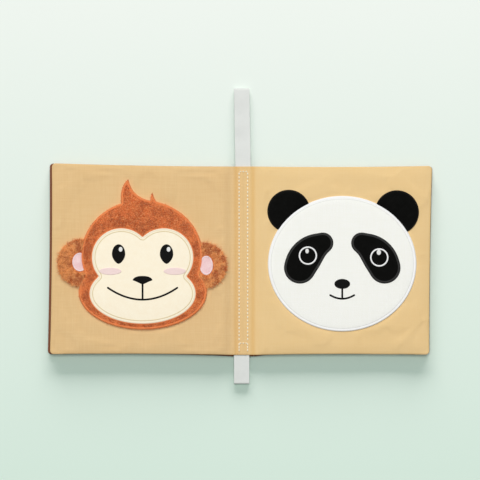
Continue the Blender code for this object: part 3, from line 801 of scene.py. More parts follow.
def distance_to(places: Array, line: Array) -> Array:
    """How far points are from a closed line: the least distance to any of its segments, each
    found from the share of the segment that lies nearest.

    Args:
        places: Points in plan.
        line: The line's points.

    Returns:
        The distance of each point.
    """
    step = np.roll(line, -1, axis=0) - line
    squared = np.maximum((step**2).sum(1), 1e-18)
    flat = places.reshape(-1, 2)
    nearest = np.empty(len(flat))
    for first in range(0, len(flat), BLOCK):
        gap = flat[first : first + BLOCK, None] - line
        share = np.clip((gap * step).sum(2) / squared, 0, 1)
        nearest[first : first + BLOCK] = ((gap - share[..., None] * step) ** 2).sum(2).min(1)
    return np.sqrt(nearest).reshape(places.shape[:-1])


def evenly(line: Array, spacing: float, closed: bool) -> Array:
    """A line's points again, the same distance apart along it.

    Args:
        line: Its points.
        spacing: About how far apart they come.
        closed: Whether it ends where it starts.

    Returns:
        The new points.
    """
    whole = np.concatenate([line, line[:1]]) if closed else line
    run = np.concatenate([[0], np.cumsum(np.linalg.norm(np.diff(whole, axis=0), axis=1))])
    count = max(8, round(run[-1] / spacing))
    spots = np.linspace(0, run[-1], count + 1)
    spots = spots[:-1] if closed else spots
    return np.stack([np.interp(spots, run, whole[:, k]) for k in range(2)], axis=1)


def smoothed(line: Array, passes: int) -> Array:
    """A closed line with each point drawn halfway to the middle of its two neighbours.

    Args:
        line: Its points.
        passes: How many times that is done.

    Returns:
        The new points.
    """
    for _ in range(passes):
        line = line / 2 + (np.roll(line, 1, axis=0) + np.roll(line, -1, axis=0)) / 4
    return line


def dress(piece: Piece, nodes: Sequence[str] = (), body: str | None = None) -> Piece:
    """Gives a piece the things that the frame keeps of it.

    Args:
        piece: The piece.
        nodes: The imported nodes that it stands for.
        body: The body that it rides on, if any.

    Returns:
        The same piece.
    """
    if nodes:
        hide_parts(*nodes)
    if body:
        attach(piece, body)
    return piece


@dataclass(frozen=True)
class Outline:
    """A closed line in plan, and the middle that a piece is filled in from."""

    centre: Array
    line: Array

    def within(self, places: Array) -> Array:
        """Which points are inside: those from which a ray along X crosses the line an odd
        number of times.

        Args:
            places: Points in plan.

        Returns:
            Whether each is inside.
        """
        ahead = np.roll(self.line, -1, axis=0)
        rise = ahead[:, 1] - self.line[:, 1]
        rise = np.where(rise == 0, 1e-15, rise)
        flat = places.reshape(-1, 2)
        inside = np.empty(len(flat), bool)
        for first in range(0, len(flat), BLOCK):
            x, y = flat[first : first + BLOCK, :1], flat[first : first + BLOCK, 1:]
            straddles = (self.line[:, 1] > y) != (ahead[:, 1] > y)
            cross = self.line[:, 0] + (y - self.line[:, 1]) / rise * (ahead - self.line)[:, 0]
            inside[first : first + BLOCK] = (straddles & (x < cross)).sum(1) % 2 == 1
        return inside.reshape(places.shape[:-1])

    def depth(self, places: Array) -> Array:
        """How far inside the line points are, or 0 outside it."""
        return np.where(self.within(places), distance_to(places, self.line), 0)

    def inset(self, depth: float) -> Outline:
        """The line moved in, or out where the depth is less than 0: every point is moved square
        to the line, without those that come too near another part of it.

        Args:
            depth: How far it is moved.

        Returns:
            The moved outline.
        """
        line = evenly(self.line, 0.5 * MM, closed=True)
        moved = line + turned_left(line, closed=True) * depth
        moved = moved[distance_to(moved, line) > abs(depth) * 0.96]
        return Outline(self.centre, smoothed(evenly(moved, 0.5 * MM, closed=True), 2))


class Ground:
    """The heights that pieces are sewn onto, which each new piece adds to."""

    def __init__(self, *layers: Heights) -> None:
        """Starts with the surface, and with what each piece on it adds."""
        self.layers = list(layers)

    def height(self, places: Array) -> Array:
        """The top of the layers at points in plan: the sum of what each adds."""
        return sum(layer(places) for layer in self.layers)

    def add(self, rise: Heights) -> None:
        """Lays a piece on top, by the rise that it gives each point."""
        self.layers.append(rise)

    def raised(self, rise: Heights) -> Ground:
        """A ground of its own: this one with a piece on it."""
        return Ground(self.height, rise)


@dataclass(frozen=True)
class CutPiece:
    """A piece cut from cloth or filled with thread, which rises from its rim to its thickness
    and on to a low crown."""

    outline: Outline
    thickness: float
    rim: float = 0.5 * MM
    crown: float = 0.0
    crown_reach: float = 8 * MM
    rings: int = 30
    spacing: float = 0.9 * MM
    lift: float = 0.02 * MM
    edge: float = 0.05 * MM

    def rise(self, places: Array) -> Array:
        """The piece's thickness: its dome over the rim, then its crown, which nears its full
        height by an exponential of the depth inside the outline.

        Args:
            places: Points in plan.

        Returns:
            The thickness at each, or 0 outside.
        """
        depth = self.outline.depth(places)
        crown = self.crown * (1 - np.exp(-depth / self.crown_reach))
        return (self.thickness + crown) * dome(depth / self.rim) + self.lift * (depth > 0)

    def skin(self, ground: Ground) -> Skin:
        """The closed piece on its ground.

        Points go round the outline along the first parameter. Along the second they run from
        the centre, closer together near the rim, to the edge, and back underneath.

        Args:
            ground: What it lies on.

        Returns:
            The piece.
        """
        line = evenly(self.outline.line, self.spacing, closed=True)
        share = 1 - (1 - np.linspace(0.12, 1, self.rings)) ** 1.9
        spots = self.outline.centre + (line - self.outline.centre)[:, None] * share[:, None]
        below = ground.height(spots)
        top = below + self.rise(spots)
        top[:, -1] = below[:, -1] + self.lift + self.edge
        centre = self.outline.centre[None]
        low_centre = ground.height(centre)
        high_centre = low_centre + self.rise(centre)
        around, outward = spots.shape[:2]
        upper = np.dstack([spots, top])
        lower = np.dstack([spots, below + self.lift])[:, ::-1][:, :: max(1, outward // 6)]
        rows = np.concatenate([upper, lower], axis=1)
        columns = rows.shape[1]
        points = rows.reshape(-1, 3)
        first = np.arange(around) * columns
        after = np.roll(first, -1)
        count = len(points)
        caps = [
            np.stack([first, after, np.full(around, count)], axis=1),
            np.stack([after, first, np.full(around, count + 1)], axis=1)
            + np.array([columns - 1, columns - 1, 0]),
        ]
        middle = np.array([[*centre[0], high_centre[0]], [*centre[0], low_centre[0] + self.lift]])
        sides = patch_of(around, columns, True, False)
        return Skin(np.concatenate([points, middle]), [sides, *caps])


def turned_left(line: Array, closed: bool) -> Array:
    """The unit direction to the left of a line's run at each of its points.

    Args:
        line: Its points.
        closed: Whether it ends where it starts.

    Returns:
        The directions.
    """
    if closed:
        run = np.roll(line, -1, axis=0) - np.roll(line, 1, axis=0)
    else:
        run = np.gradient(line, axis=0)
    run = run / np.maximum(np.linalg.norm(run, axis=1), 1e-12)[:, None]
    return spots_at(-run[:, 1], run[:, 0])


@dataclass(frozen=True)
class LaidThread:
    """A raised line of embroidery that follows its ground: half an ellipse carried along a
    line in plan, with a slight rib for every stitch."""

    width: float
    height: float
    pitch: float = 0.5 * MM
    rib: float = 0.10
    across: int = 9
    taper: float = 0.9 * MM

    def skin(self, line: Array, ground: Ground, closed: bool = True) -> Skin:
        """The line's closed surface.

        Args:
            line: The middle of the stitching, in plan.
            ground: What it lies on.
            closed: Whether the line ends where it starts.

        Returns:
            The surface, mapped by length along and share across.
        """
        line = evenly(line, self.pitch / 4, closed)
        left = turned_left(line, closed)
        run = np.concatenate([[0], np.cumsum(np.linalg.norm(np.diff(line, axis=0), axis=1))])
        whole = run[-1] + (np.linalg.norm(line[0] - line[-1]) if closed else 0)
        ribs = 1 + self.rib * np.sin(run * FULL_TURN / self.pitch)
        narrow = np.ones(len(line)) if closed else dome(np.minimum(run, whole - run) / self.taper)
        narrow = np.maximum(narrow, 0.12)
        share = np.linspace(-1, 1, self.across)
        offset = (self.width / 2 * narrow)[:, None] * share
        spots = line[:, None] + left[:, None] * offset[..., None]
        ground_here = ground.height(spots) + 0.01 * MM
        lift = self.height * (ribs * narrow)[:, None] * np.sqrt(1 - share**2)
        points = np.dstack([spots, ground_here + lift])
        rows, columns = points.shape[:2]
        sides = patch_of(rows, columns, closed, True)
        steps = np.append(run, whole) if closed else run
        shares = np.concatenate([(share + 1) / 2, [0]])
        mapped = corner_map_of(steps, shares)
        faces = [sides]
        if not closed:
            ends = [np.arange(columns)[::-1], np.arange(columns) + (rows - 1) * columns]
            faces += [end[None] for end in ends]
            mapped = np.concatenate([mapped, np.zeros((2 * columns, 2))])
        return Skin(points.reshape(-1, 3), faces, mapped, {})


@dataclass(frozen=True)
class RunningStitch:
    """A row of separate stitches, each a short thread whose ends dip into the cloth."""

    length: float
    radius: float
    bow: float = 0.5
    dip: float = 0.8
    sides: int = 8
    rings: int = 9

    def between(self, starts: Array, stops: Array, ground: Ground) -> Skin:
        """Stitches from each start to each stop.

        A stitch's line rises by half a sine over its length, and a circle, which shrinks at
        both ends, is carried along it.

        Args:
            starts: Where each comes up, in plan.
            stops: Where each goes down.
            ground: What they lie on.

        Returns:
            All of the stitches.
        """
        share = np.linspace(0, 1, self.rings)
        run = stops - starts
        length = np.linalg.norm(run, axis=1)
        middle = starts[:, None] + run[:, None] * share[None, :, None]
        arch = -self.dip + (1 + self.dip) * np.sin(share * math.pi) ** self.bow
        height = ground.height(middle) + self.radius * arch
        size = self.radius * np.sqrt(np.clip(1 - (2 * share - 1) ** 6, 0.08, 1))
        left = spots_at(-run[:, 1], run[:, 0]) / length[:, None]
        turn = np.linspace(0, FULL_TURN, self.sides, endpoint=False)
        sideways = (size[:, None] * np.cos(turn))[None, ..., None] * left[:, None, None]
        upward = height[..., None] + (size[:, None] * np.sin(turn))[None]
        points = np.concatenate([middle[:, :, None] + sideways, upward[..., None]], axis=3)
        block = self.rings * self.sides
        first = (np.arange(len(starts)) * block)[:, None, None]
        sides = (patch_of(self.rings, self.sides, False, True)[None] + first).reshape(-1, 4)
        low = (np.arange(self.sides)[::-1] + first[:, 0]).astype(int)
        high = (np.arange(self.sides) + block - self.sides + first[:, 0]).astype(int)
        steps, shares = share * self.length, np.linspace(0, 1, self.sides + 1)
        mapped = np.tile(corner_map_of(steps, shares), (len(starts), 1))
        ends = np.zeros((2 * self.sides * len(starts), 2))
        return Skin(points.reshape(-1, 3), [sides, low, high], np.concatenate([mapped, ends]), {})


@dataclass(frozen=True)
class Tufts:
    """The pile of a plush: short tapered tufts that lean every way, and on the whole by a push
    away from the middle of the part that is left bare."""

    spacing: float
    length: float
    radius: float
    lean: float
    seed: int
    margin: float
    overlap: float = 0.0
    push: float = 0.0

    def skin(self, outline: Outline, bare: Outline, ground: Ground) -> Skin:
        """Tufts on a jittered lattice of spots in plan.

        Each is a three-sided tube of a ring at its foot, a ring halfway, and a point at its
        tip, bent by its lean.

        Args:
            outline: The piece that they cover.
            bare: The part of it that they leave out.
            ground: The cloth under them.

        Returns:
            All of the tufts, with each one's shade and the height up it.
        """
        dice = np.random.default_rng(self.seed)
        low, high = outline.line.min(0), outline.line.max(0)
        across, up = (np.arange(low[k], high[k], self.spacing) for k in range(2))
        spots = np.stack(np.meshgrid(across, up, indexing="ij"), axis=-1).reshape(-1, 2)
        spots = spots + dice.uniform(-0.6, 0.6, spots.shape) * self.spacing
        inside = (outline.depth(spots) > self.margin) & (bare.depth(spots) <= self.overlap)
        spots = spots[inside]
        count = len(spots)
        away = spots - bare.centre
        away = away / np.linalg.norm(away, axis=1)[:, None] * self.push
        lean = away + dice.normal(0, self.lean, (count, 2))
        length = self.length * dice.uniform(0.7, 1.25, count)
        foot = np.column_stack([spots, ground.height(spots) - 0.05 * MM])
        halfway = foot + np.column_stack([lean * 0.35, np.full(count, HALFWAY)]) * length[:, None]
        tip = foot + np.column_stack([lean, 1 / (1 + (lean**2).sum(1))]) * length[:, None]
        turn = dice.uniform(0, FULL_TURN, count)[:, None] + np.arange(3) * FULL_TURN / 3
        ring = np.stack([np.cos(turn), np.sin(turn), np.zeros_like(turn)], axis=2) * self.radius
        points = np.concatenate(
            [foot[:, None] + ring, halfway[:, None] + ring * 0.8, tip[:, None]], axis=1
        )
        first = (np.arange(count) * 7)[:, None, None]
        quads = np.array([[k, (k + 1) % 3, (k + 1) % 3 + 3, k + 3] for k in range(3)])
        tips = np.array([[k + 3, (k + 1) % 3 + 3, 6] for k in range(3)] + [[2, 1, 0]])
        shade = np.repeat(dice.uniform(0, 1, count), 7)
        rise = np.tile([0, 0, 0, HALFWAY, HALFWAY, HALFWAY, 1.0], count)
        faces = [(quads + first).reshape(-1, 4), (tips + first).reshape(-1, 3)]
        return Skin(points.reshape(-1, 3), faces, None, {"shade": shade, "rise": rise})


# Leaves


@dataclass(frozen=True)
class Stray:
    """How far the sewn edges of a leaf stray from the true oblong, in plan, at its corners.

    A positive out is away from the spine and a positive up is towards the top of the pages.
    """

    spine_top: float = 0.0
    spine_bottom: float = 0.0
    top_out: float = 0.0
    top_up: float = 0.0
    bottom_out: float = 0.0
    bottom_up: float = 0.0
    haste: float = 1.0

    def move(self, across: Array, height: Array) -> tuple[Array, Array]:
        """The shift out and up at a place.

        Args:
            across: The share of the way from the hinge to the outer edge.
            height: The share of the way from the middle to the top, or less than 0 below it.

        Returns:
            Both shifts, from the corners' in proportion to their nearness. Along the bottom, the
            haste is the power that brings the outer corner's shift on sooner.
        """
        across = np.clip(across, 0, 1)
        upper, lower = np.clip((1 + height) / 2, 0, 1), np.clip((1 - height) / 2, 0, 1)
        out = across * (upper * self.top_out + lower * self.bottom_out)
        top = self.spine_top + (self.top_up - self.spine_top) * across
        soon = 1 - (1 - across) ** self.haste
        bottom = self.spine_bottom + (self.bottom_up - self.spine_bottom) * soon
        return out, upper**2 * top + lower**2 * bottom


@dataclass(frozen=True)
class LeafForm:
    """Half of a sheet: where it hinges, how far it reaches and how its faces swell apart. A
    point of it is s out from the hinge and y up from its middle."""

    side: Side
    reach: float
    top: float
    bottom: float
    hinge_height: float
    seam_height: float
    hinge_out: float = 8.75 * MM
    full: float = 1.9 * MM
    bead: float = 0.65 * MM
    slope: float = 8.0 * MM
    roll: float = 10.0 * MM
    roll_power: float = 2.2
    corner: float = 3.0 * MM
    draw_in: float = 0.6 * MM
    cloth: float = 0.5 * MM
    seam_gap: float = 0.06 * MM
    seam_round: float = 1.5 * MM
    stray: Stray = Stray()

    @property
    def length(self) -> float:
        """From the hinge to the outer edge."""
        return self.reach - self.hinge_out

    def edge(self, s: Array, y: Array) -> Array:
        """How far a point of the leaf is from its nearest sewn edge."""
        return np.minimum(self.length - s, np.minimum(self.top - y, self.bottom + y))

    def seam(self, s: Array) -> Array:
        """The height of the middle of the leaf, which rises from the hinge to the seam."""
        rise = self.seam_height - self.hinge_height
        return self.hinge_height + rise * smooth_step(s / self.slope)

    def rolled(self, distance: Array) -> Array:
        """The roll at a sewn edge: 1 less a power of the share of the roll still to go."""
        return 1 - (1 - np.clip(distance / self.roll, 0, 1)) ** self.roll_power

    def swell(self, s: Array, y: Array) -> Array:
        """Half of the leaf's thickness: a rise from the hinge, times the roll at each edge, and
        rounded off at the seam.

        Args:
            s: Places out from the hinge.
            y: Places up the leaf.

        Returns:
            The half thickness there.
        """
        fullness = smooth_step(s / self.slope) * self.rolled(self.length - s)
        fullness = fullness * self.rolled(self.top - y) * self.rolled(self.bottom + y)
        half = self.bead + (self.full - self.bead) * fullness
        inner = np.maximum(half - self.cloth, self.seam_gap)
        return inner + (half - inner) * (0.25 + 0.75 * dome(self.edge(s, y) / self.seam_round))

    def plan(self, s: Array, y: Array) -> tuple[Array, Array]:
        """Where a point of the leaf is in plan, with the outer corners rounded and the sides
        drawn in between them by a parabola.

        Args:
            s: Places out from the hinge.
            y: Places up the leaf.

        Returns:
            Its two places in plan.
        """
        across, half_height = s / self.length, (self.top + self.bottom) / 2
        u = np.clip(1 - (self.length - s) / self.corner, 0, 1)
        v_top = np.clip(1 - (self.top - y) / self.corner, 0, 1)
        v_low = np.clip(1 - (self.bottom + y) / self.corner, 0, 1)
        v = v_top + v_low
        height = y / half_height
        out = s - self.corner * u * (1 - np.sqrt(1 - v * v / 2))
        up = y - self.corner * (v_top - v_low) * (1 - np.sqrt(1 - u * u / 2))
        out = out - self.draw_in * np.maximum(across, 0) * (1 - height**2)
        up = up - self.draw_in * height * 4 * np.maximum(across * (1 - across), 0)
        stray_out, stray_up = self.stray.move(across, height)
        return self.side.value * (self.hinge_out + out + stray_out), up + stray_up

    def stations(self, start: float, step: float, fine: float) -> tuple[Array, Array]:
        """Distances out from the hinge and up the leaf, finer beside the hinge and the edges."""
        out = spaced(start, self.length, step, fine, (13 * MM, 3 * MM))
        return out, spaced(-self.bottom, self.top, step, fine, (3 * MM, 3 * MM))


@dataclass(frozen=True)
class Inflation:
    """A cloth simulation of a leaf: two cloths sewn at their edges and filled by pressure. The
    rise and fall that it adds to the leaf's own form is kept."""

    cells: int = 56
    frames: int = 20
    pressure: float = 4.0
    spare: float = 0.02
    cap: float = 0.30 * MM
    start: float = 0.92
    reach: int = 5
    cloth: ClassVar[dict[str, object]] = {
        "quality": 5, "mass": 0.15, "tension_stiffness": 15, "compression_stiffness": 15,
        "shear_stiffness": 5, "bending_stiffness": 0.05, "vertex_group_mass": "sewn",
        "use_pressure": True,
    }

    def run(self, form: LeafForm) -> tuple[Array, Array, Array, Array]:
        """Simulates the leaf.

        Args:
            form: The leaf at rest.

        Returns:
            The distances out and up of its grid, and the offsets of its two faces there.
        """
        out = np.linspace(0, form.length, self.cells)
        up = np.linspace(-form.bottom, form.top, self.cells)
        s, y = np.meshgrid(out, up, indexing="ij")
        x, plan_y = form.plan(s, y)
        swell = form.swell(s, y) * self.start
        faces = [np.dstack([x, plan_y, form.seam(s) + sign * swell]) for sign in (1, -1)]
        skin = shell(*faces)
        mesh = bpy.data.meshes.new("inflation")
        mesh.from_pydata(skin.points.tolist(), [], [r for f in skin.faces for r in f.tolist()])
        obj = bpy.data.objects.new("inflation", mesh)
        scene = bpy.context.scene
        scene.collection.objects.link(obj)
        held = (form.edge(s, y) < 1 * MM) | (s < 1 * MM)
        group = obj.vertex_groups.new(name="sewn")
        group.add(np.flatnonzero(np.tile(held.ravel(), 2)).tolist(), 1.0, "REPLACE")
        cloth = obj.modifiers.new("cloth", "CLOTH")
        cloth.point_cache.frame_start, cloth.point_cache.frame_end = 1, self.frames
        settings = cloth.settings
        own = {"shrink_min": -self.spare, "uniform_pressure_force": self.pressure}
        for name, value in {**self.cloth, **own}.items():
            setattr(settings, name, value)
        settings.effector_weights.gravity = 0
        for frame in range(1, self.frames + 1):
            scene.frame_set(frame)
        moved = obj.evaluated_get(bpy.context.evaluated_depsgraph_get()).to_mesh()
        points = np.empty(len(moved.vertices) * 3, np.float32)
        moved.vertices.foreach_get("co", points)
        scene.frame_set(1)
        bpy.data.objects.remove(obj, do_unlink=True)
        change = (points.reshape(-1, 3) - skin.points)[:, 2].reshape(2, self.cells, self.cells)
        change = np.nan_to_num(change) - self.smooth(np.nan_to_num(change))
        upper, lower = (self.cap * np.tanh(part / self.cap) for part in change)
        return out, up, upper, lower

    def smooth(self, change: Array) -> Array:
        """The broad part of the change: the mean over a square of cells, taken three times.

        Args:
            change: The change, by face, row and column.

        Returns:
            Its broad part.
        """
        for axis in (1, 1, 1, 2, 2, 2):
            edges = [(self.reach, self.reach) if k == axis else (0, 0) for k in range(3)]
            padded = np.pad(change, edges, mode="edge")
            windows = np.lib.stride_tricks.sliding_window_view(padded, 2 * self.reach + 1, axis)
            change = windows.mean(-1)
        return change


@dataclass(frozen=True)
class Creases:
    """The small rise and fall of a leaf's face, on a grid, faded out where it is held flat."""

    out: Array
    up: Array
    offsets: Array
    seed: int
    strength: float

    def at(self, s: Array, y: Array) -> Array:
        """The offset at a point: the simulated one, read between its grid's points in
        proportion to their nearness, and a gentle uneven surface.

        Args:
            s: Places out from the hinge.
            y: Places up the leaf.

        Returns:
            The offset there.
        """
        i = np.clip(np.interp(s, self.out, np.arange(len(self.out))), 0, len(self.out) - 1.001)
        j = np.clip(np.interp(y, self.up, np.arange(len(self.up))), 0, len(self.up) - 1.001)
        low_i, low_j = i.astype(int), j.astype(int)
        u, v = i - low_i, j - low_j
        simulated = sum(
            self.offsets[low_i + a, low_j + b] * (u if a else 1 - u) * (v if b else 1 - v)
            for b in (0, 1)
            for a in (0, 1)
        )
        gentle = ripples(spots_at(s, y), 42 * MM, self.seed) * (0.16 * MM)
        return (simulated + gentle) * self.strength * smooth_step((s - 2 * MM) / (8 * MM))


class Spread:
    """The whole book's frame and the sizes that its sheets share."""

    origin: Array = np.zeros(3)
    page_half: float = 74.5 * MM
    left_reach: float = 151.2 * MM
    right_reach: float = 147.4 * MM
    page_hinge: float = 5.35 * MM
    page_seam: float = 6.05 * MM
    cover_hinge: float = 2.55 * MM
    cover_seam: float = 1.9 * MM
    sheet_middle: float = 3.95 * MM
    stitch_row: float = 3.35 * MM

    @classmethod
    def settle(cls) -> None:
        """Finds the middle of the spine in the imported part."""
        low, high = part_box("page_sheet_spine")
        cls.origin = np.array([(low.x + high.x) / 2, (low.y + high.y) / 2, 0])

    @classmethod
    def spot(cls, x: float, y: float, z: float) -> tuple[float, float, float]:
        """A point of the book in the part's frame."""
        return tuple(float(v) for v in np.array([x, y, z]) + cls.origin)


@dataclass
class Leaf:
    """A padded leaf: two cloths sewn round wadding and film, with what is sewn onto it.

    Cloths that go on over the spine stand for its nodes too.
    """

    name: str
    form: LeafForm
    finish: Finish
    cloths: dict[Face, str]
    seed: int
    step: float
    over_spine: Sequence[str] = ()
    sewn: Sequence[Outline] = ()
    crease: float = 0.25
    crease_under: float = 0.15
    sewn_depth: float = 0.42 * MM
    sewn_width: float = 2.6 * MM
    dip: float = 0.0
    dip_width: float = 1.1 * MM
    gutter: float = 0.0
    gutter_out: float = 6.6 * MM
    gutter_width: float = 1.2 * MM
    # The strength of the painted shade over the gutter, and its shares over the spine and along the
    # sewn edges.
    fold: float = 0.0
    spine_fold: float = 0.28
    edge_fold: float = 0.25
    turn_over: float = 1.7 * MM
    table_gap: float = 0.02 * MM
    thinnest: float = 0.08 * MM

    def __post_init__(self) -> None:
        """Works out the creases of both faces."""
        out, up, upper, lower = Inflation().run(self.form)
        self.creases = {
            Face.UPPER: Creases(out, up, upper, self.seed, self.crease),
            Face.LOWER: Creases(out, up, lower, self.seed + 1, min(self.crease, 0.25)),
        }

    def offset(self, s: Array, y: Array, places: Array, face: Face) -> Array:
        """What creases and sewing add to a face's height. Sewing pulls the cloth down by a bell
        of the distance from each sewn outline, and presses the creases out under the piece.

        Args:
            s: Places out from the hinge.
            y: Places up the leaf.
            places: The same points in plan.
            face: Which cloth it is.

        Returns:
            The offset there, up being positive.
        """
        crease = self.creases[face].at(s, y)
        pull = np.zeros_like(s)
        if face is Face.UPPER:
            for outline in self.sewn:
                far = distance_to(places, outline.line)
                pull = np.maximum(pull, np.exp(-((far / self.sewn_width) ** 2)))
                crease = crease * np.where(outline.within(places), self.crease_under, 1)
            crease = crease * (1 - pull)
        return crease - self.sewn_depth * pull

    def face_height(self, s: Array, y: Array, places: Array, face: Face) -> Array:
        """The height of a face that shows: the seam's height plus or less the swell. Over the
        spine it is level, with a bell-shaped dip at each row of stitches and a gutter beside
        them.

        Args:
            s: Places out from the hinge.
            y: Places up the leaf.
            places: The same points in plan.
            face: Which cloth it is.

        Returns:
            The height there.
        """
        form, sign = self.form, face.value
        on_leaf = form.seam(s) + sign * form.swell(s, y) + self.offset(s, y, places, face)
        x = np.abs(places[..., 0])
        lowered = self.dip * np.exp(-(((x - Spread.stitch_row) / self.dip_width) ** 2))
        lowered += self.gutter * np.exp(-(((x - self.gutter_out) / self.gutter_width) ** 2))
        return on_leaf - sign * lowered

    def ground_height(self, places: Array) -> Array:
        """The height of the upper face at points in plan."""
        s = self.form.side.value * places[..., 0] - self.form.hinge_out
        return self.face_height(s, places[..., 1], places, Face.UPPER)

    def shade(self, s: Array, y: Array, x: Array) -> Array:
        """How much painted shade a place gets, standing for the shade of a fold: a bell over the
        gutter, with a share of it over the whole spine, and some along the sewn edges.

        Args:
            s: Places out from the hinge.
            y: Places up the leaf.
            x: Its place across the book.

        Returns:
            The share of shade there.
        """
        beyond = np.abs(x) - self.gutter_out
        bell = np.exp(-((beyond / (1.5 * self.gutter_width)) ** 2))
        fold = self.fold * (bell + self.spine_fold * (1 - smooth_step(beyond / (3 * MM))))
        return fold + self.edge_fold * (1 - smooth_step(self.form.edge(s, y) / (2.5 * MM)))

    def cloth(self, face: Face, step: float) -> Skin:
        """One of the two cloths as a closed shell, out from the spine and flat where it lies on
        the table. One that ends at the hinge is rounded off there by a circle.

        Args:
            face: Which cloth it is.
            step: The spacing of its points.

        Returns:
            The cloth.
        """
        form = self.form
        start = 0.01 * MM - form.hinge_out if self.over_spine else -form.bead * 0.75
        s, y = np.meshgrid(*form.stations(start, step, 0.45 * MM), indexing="ij")
        x, plan_y = form.plan(s, y)
        height = self.face_height(s, y, spots_at(x, plan_y), face)
        thick = np.minimum(form.cloth, np.abs(height - form.seam(s)) - form.seam_gap / 2)
        thick = np.maximum(thick, self.thinnest)
        if not self.over_spine:
            round_off = np.sqrt(np.maximum(form.bead**2 - np.minimum(s, 0) ** 2, 0)) - form.bead
            height = height + face.value * round_off
        height = np.maximum(height, self.table_gap)
        outer = np.dstack([x, plan_y, height])
        inner = np.dstack([x, plan_y, height - face.value * thick])
        # The fold mark carries the painted shade into the cloth's colour.
        return shell(outer, inner, {"fold": self.shade(s, y, x)})

    def build(self) -> Ground:
        """Builds the leaf's cloths, wadding and film.

        Returns:
            The ground that its upper face makes.
        """
        form, side = self.form, self.form.side.value
        ends = [
            Spread.spot(side * form.hinge_out + side * turn, 0, form.hinge_height)
            for turn in (-self.turn_over, self.turn_over)
        ]
        for face, word in self.cloths.items():
            step = self.step if face is Face.UPPER else self.step * 1.8
            piece = self.cloth(face, step).build(f"{self.name}_{word}_piece", self.finish)
            body = None if self.over_spine else self.name
            dress(piece, [f"{self.name}_{word}", *self.over_spine], body)
            if self.over_spine:
                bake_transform(piece)
        self.filling()
        return Ground(self.ground_height)

    def filling(self) -> None:
        """The film and the wadding between the cloths, each on its own grid."""
        form, inset = self.form, 5 * MM
        out = np.linspace(form.slope * 0.7, form.length - inset, 44)
        up = np.linspace(-form.bottom + inset, form.top - inset, 44)
        s, y = np.meshgrid(out, up, indexing="ij")
        x, plan_y = form.plan(s, y)
        room = np.maximum(form.swell(s, y) - form.cloth - 0.55 * MM, 0.12 * MM)
        crumple = np.abs(ripples(np.dstack([x, plan_y]), 9 * MM, self.seed + 5)) * (0.12 * MM)
        film = form.seam(s) + room - crumple * np.clip(room / (0.4 * MM), 0, 1)
        layers = (
            ("crinkle_film", film, film - 0.06 * MM, Finishes.FILM),
            ("wadding", film - 0.2 * MM, form.seam(s) - room, Finishes.WADDING),
        )
        for word, high, low, finish in layers:
            low = np.minimum(low, high - 0.04 * MM)
            skin = shell(np.dstack([x, plan_y, high]), np.dstack([x, plan_y, low]))
            piece = skin.build(f"{self.name}_{word}_layer", finish)
            dress(piece, [f"{self.name}_{word}"], self.name)


# The outlines of the two faces


def ray(angle: Array | float, reach: Array | float = 1.0) -> Array:
    """The point at each angle and reach from nothing."""
    return spots_at(reach * np.cos(angle), reach * np.sin(angle))


def ellipse(x: float, y: float, half_width: float, half_height: float, points: int = 120) -> Array:
    """Points round an ellipse."""
    turn = np.linspace(0, FULL_TURN, points, endpoint=False)
    return np.array([x, y]) + ray(turn) * np.array([half_width, half_height])


def crossings(origin: Array, angle: Array, lobe: Sequence[float]) -> tuple[Array, Array, Array]:
    """Where rays from a point cross an ellipse, by the quadratic of the ray's length.

    Args:
        origin: Where the rays start.
        angle: Their directions.
        lobe: The ellipse's centre and half sizes.

    Returns:
        Whether each ray's line meets it, and the lengths to the near and far crossing.
    """
    x, y, half_width, half_height = lobe
    across, up = np.cos(angle) / half_width, np.sin(angle) / half_height
    off_x, off_y = (x - origin[0]) / half_width, (y - origin[1]) / half_height
    a = across**2 + up**2
    b = across * off_x + up * off_y
    rest = b * b - a * (off_x**2 + off_y**2 - 1)
    root = np.sqrt(np.maximum(rest, 0))
    return rest > 0, (b - root) / a, (b + root) / a


def bend(start: Array, control: Array, stop: Array, points: int) -> Array:
    """A curve from start towards control and on to stop, without its first point."""
    t = np.linspace(0, 1, points + 1)[1:, None]
    return (1 - t) ** 2 * start + 2 * t * (1 - t) * control + t**2 * stop


@dataclass(frozen=True)
class Lock:
    """A lock of hair on an outline: the angles of its two feet, and the angle and reach of its
    tip and of the two points that its sides bow towards."""

    right_foot: float
    left_foot: float
    tip: tuple[float, float]
    right_bow: tuple[float, float]
    left_bow: tuple[float, float]


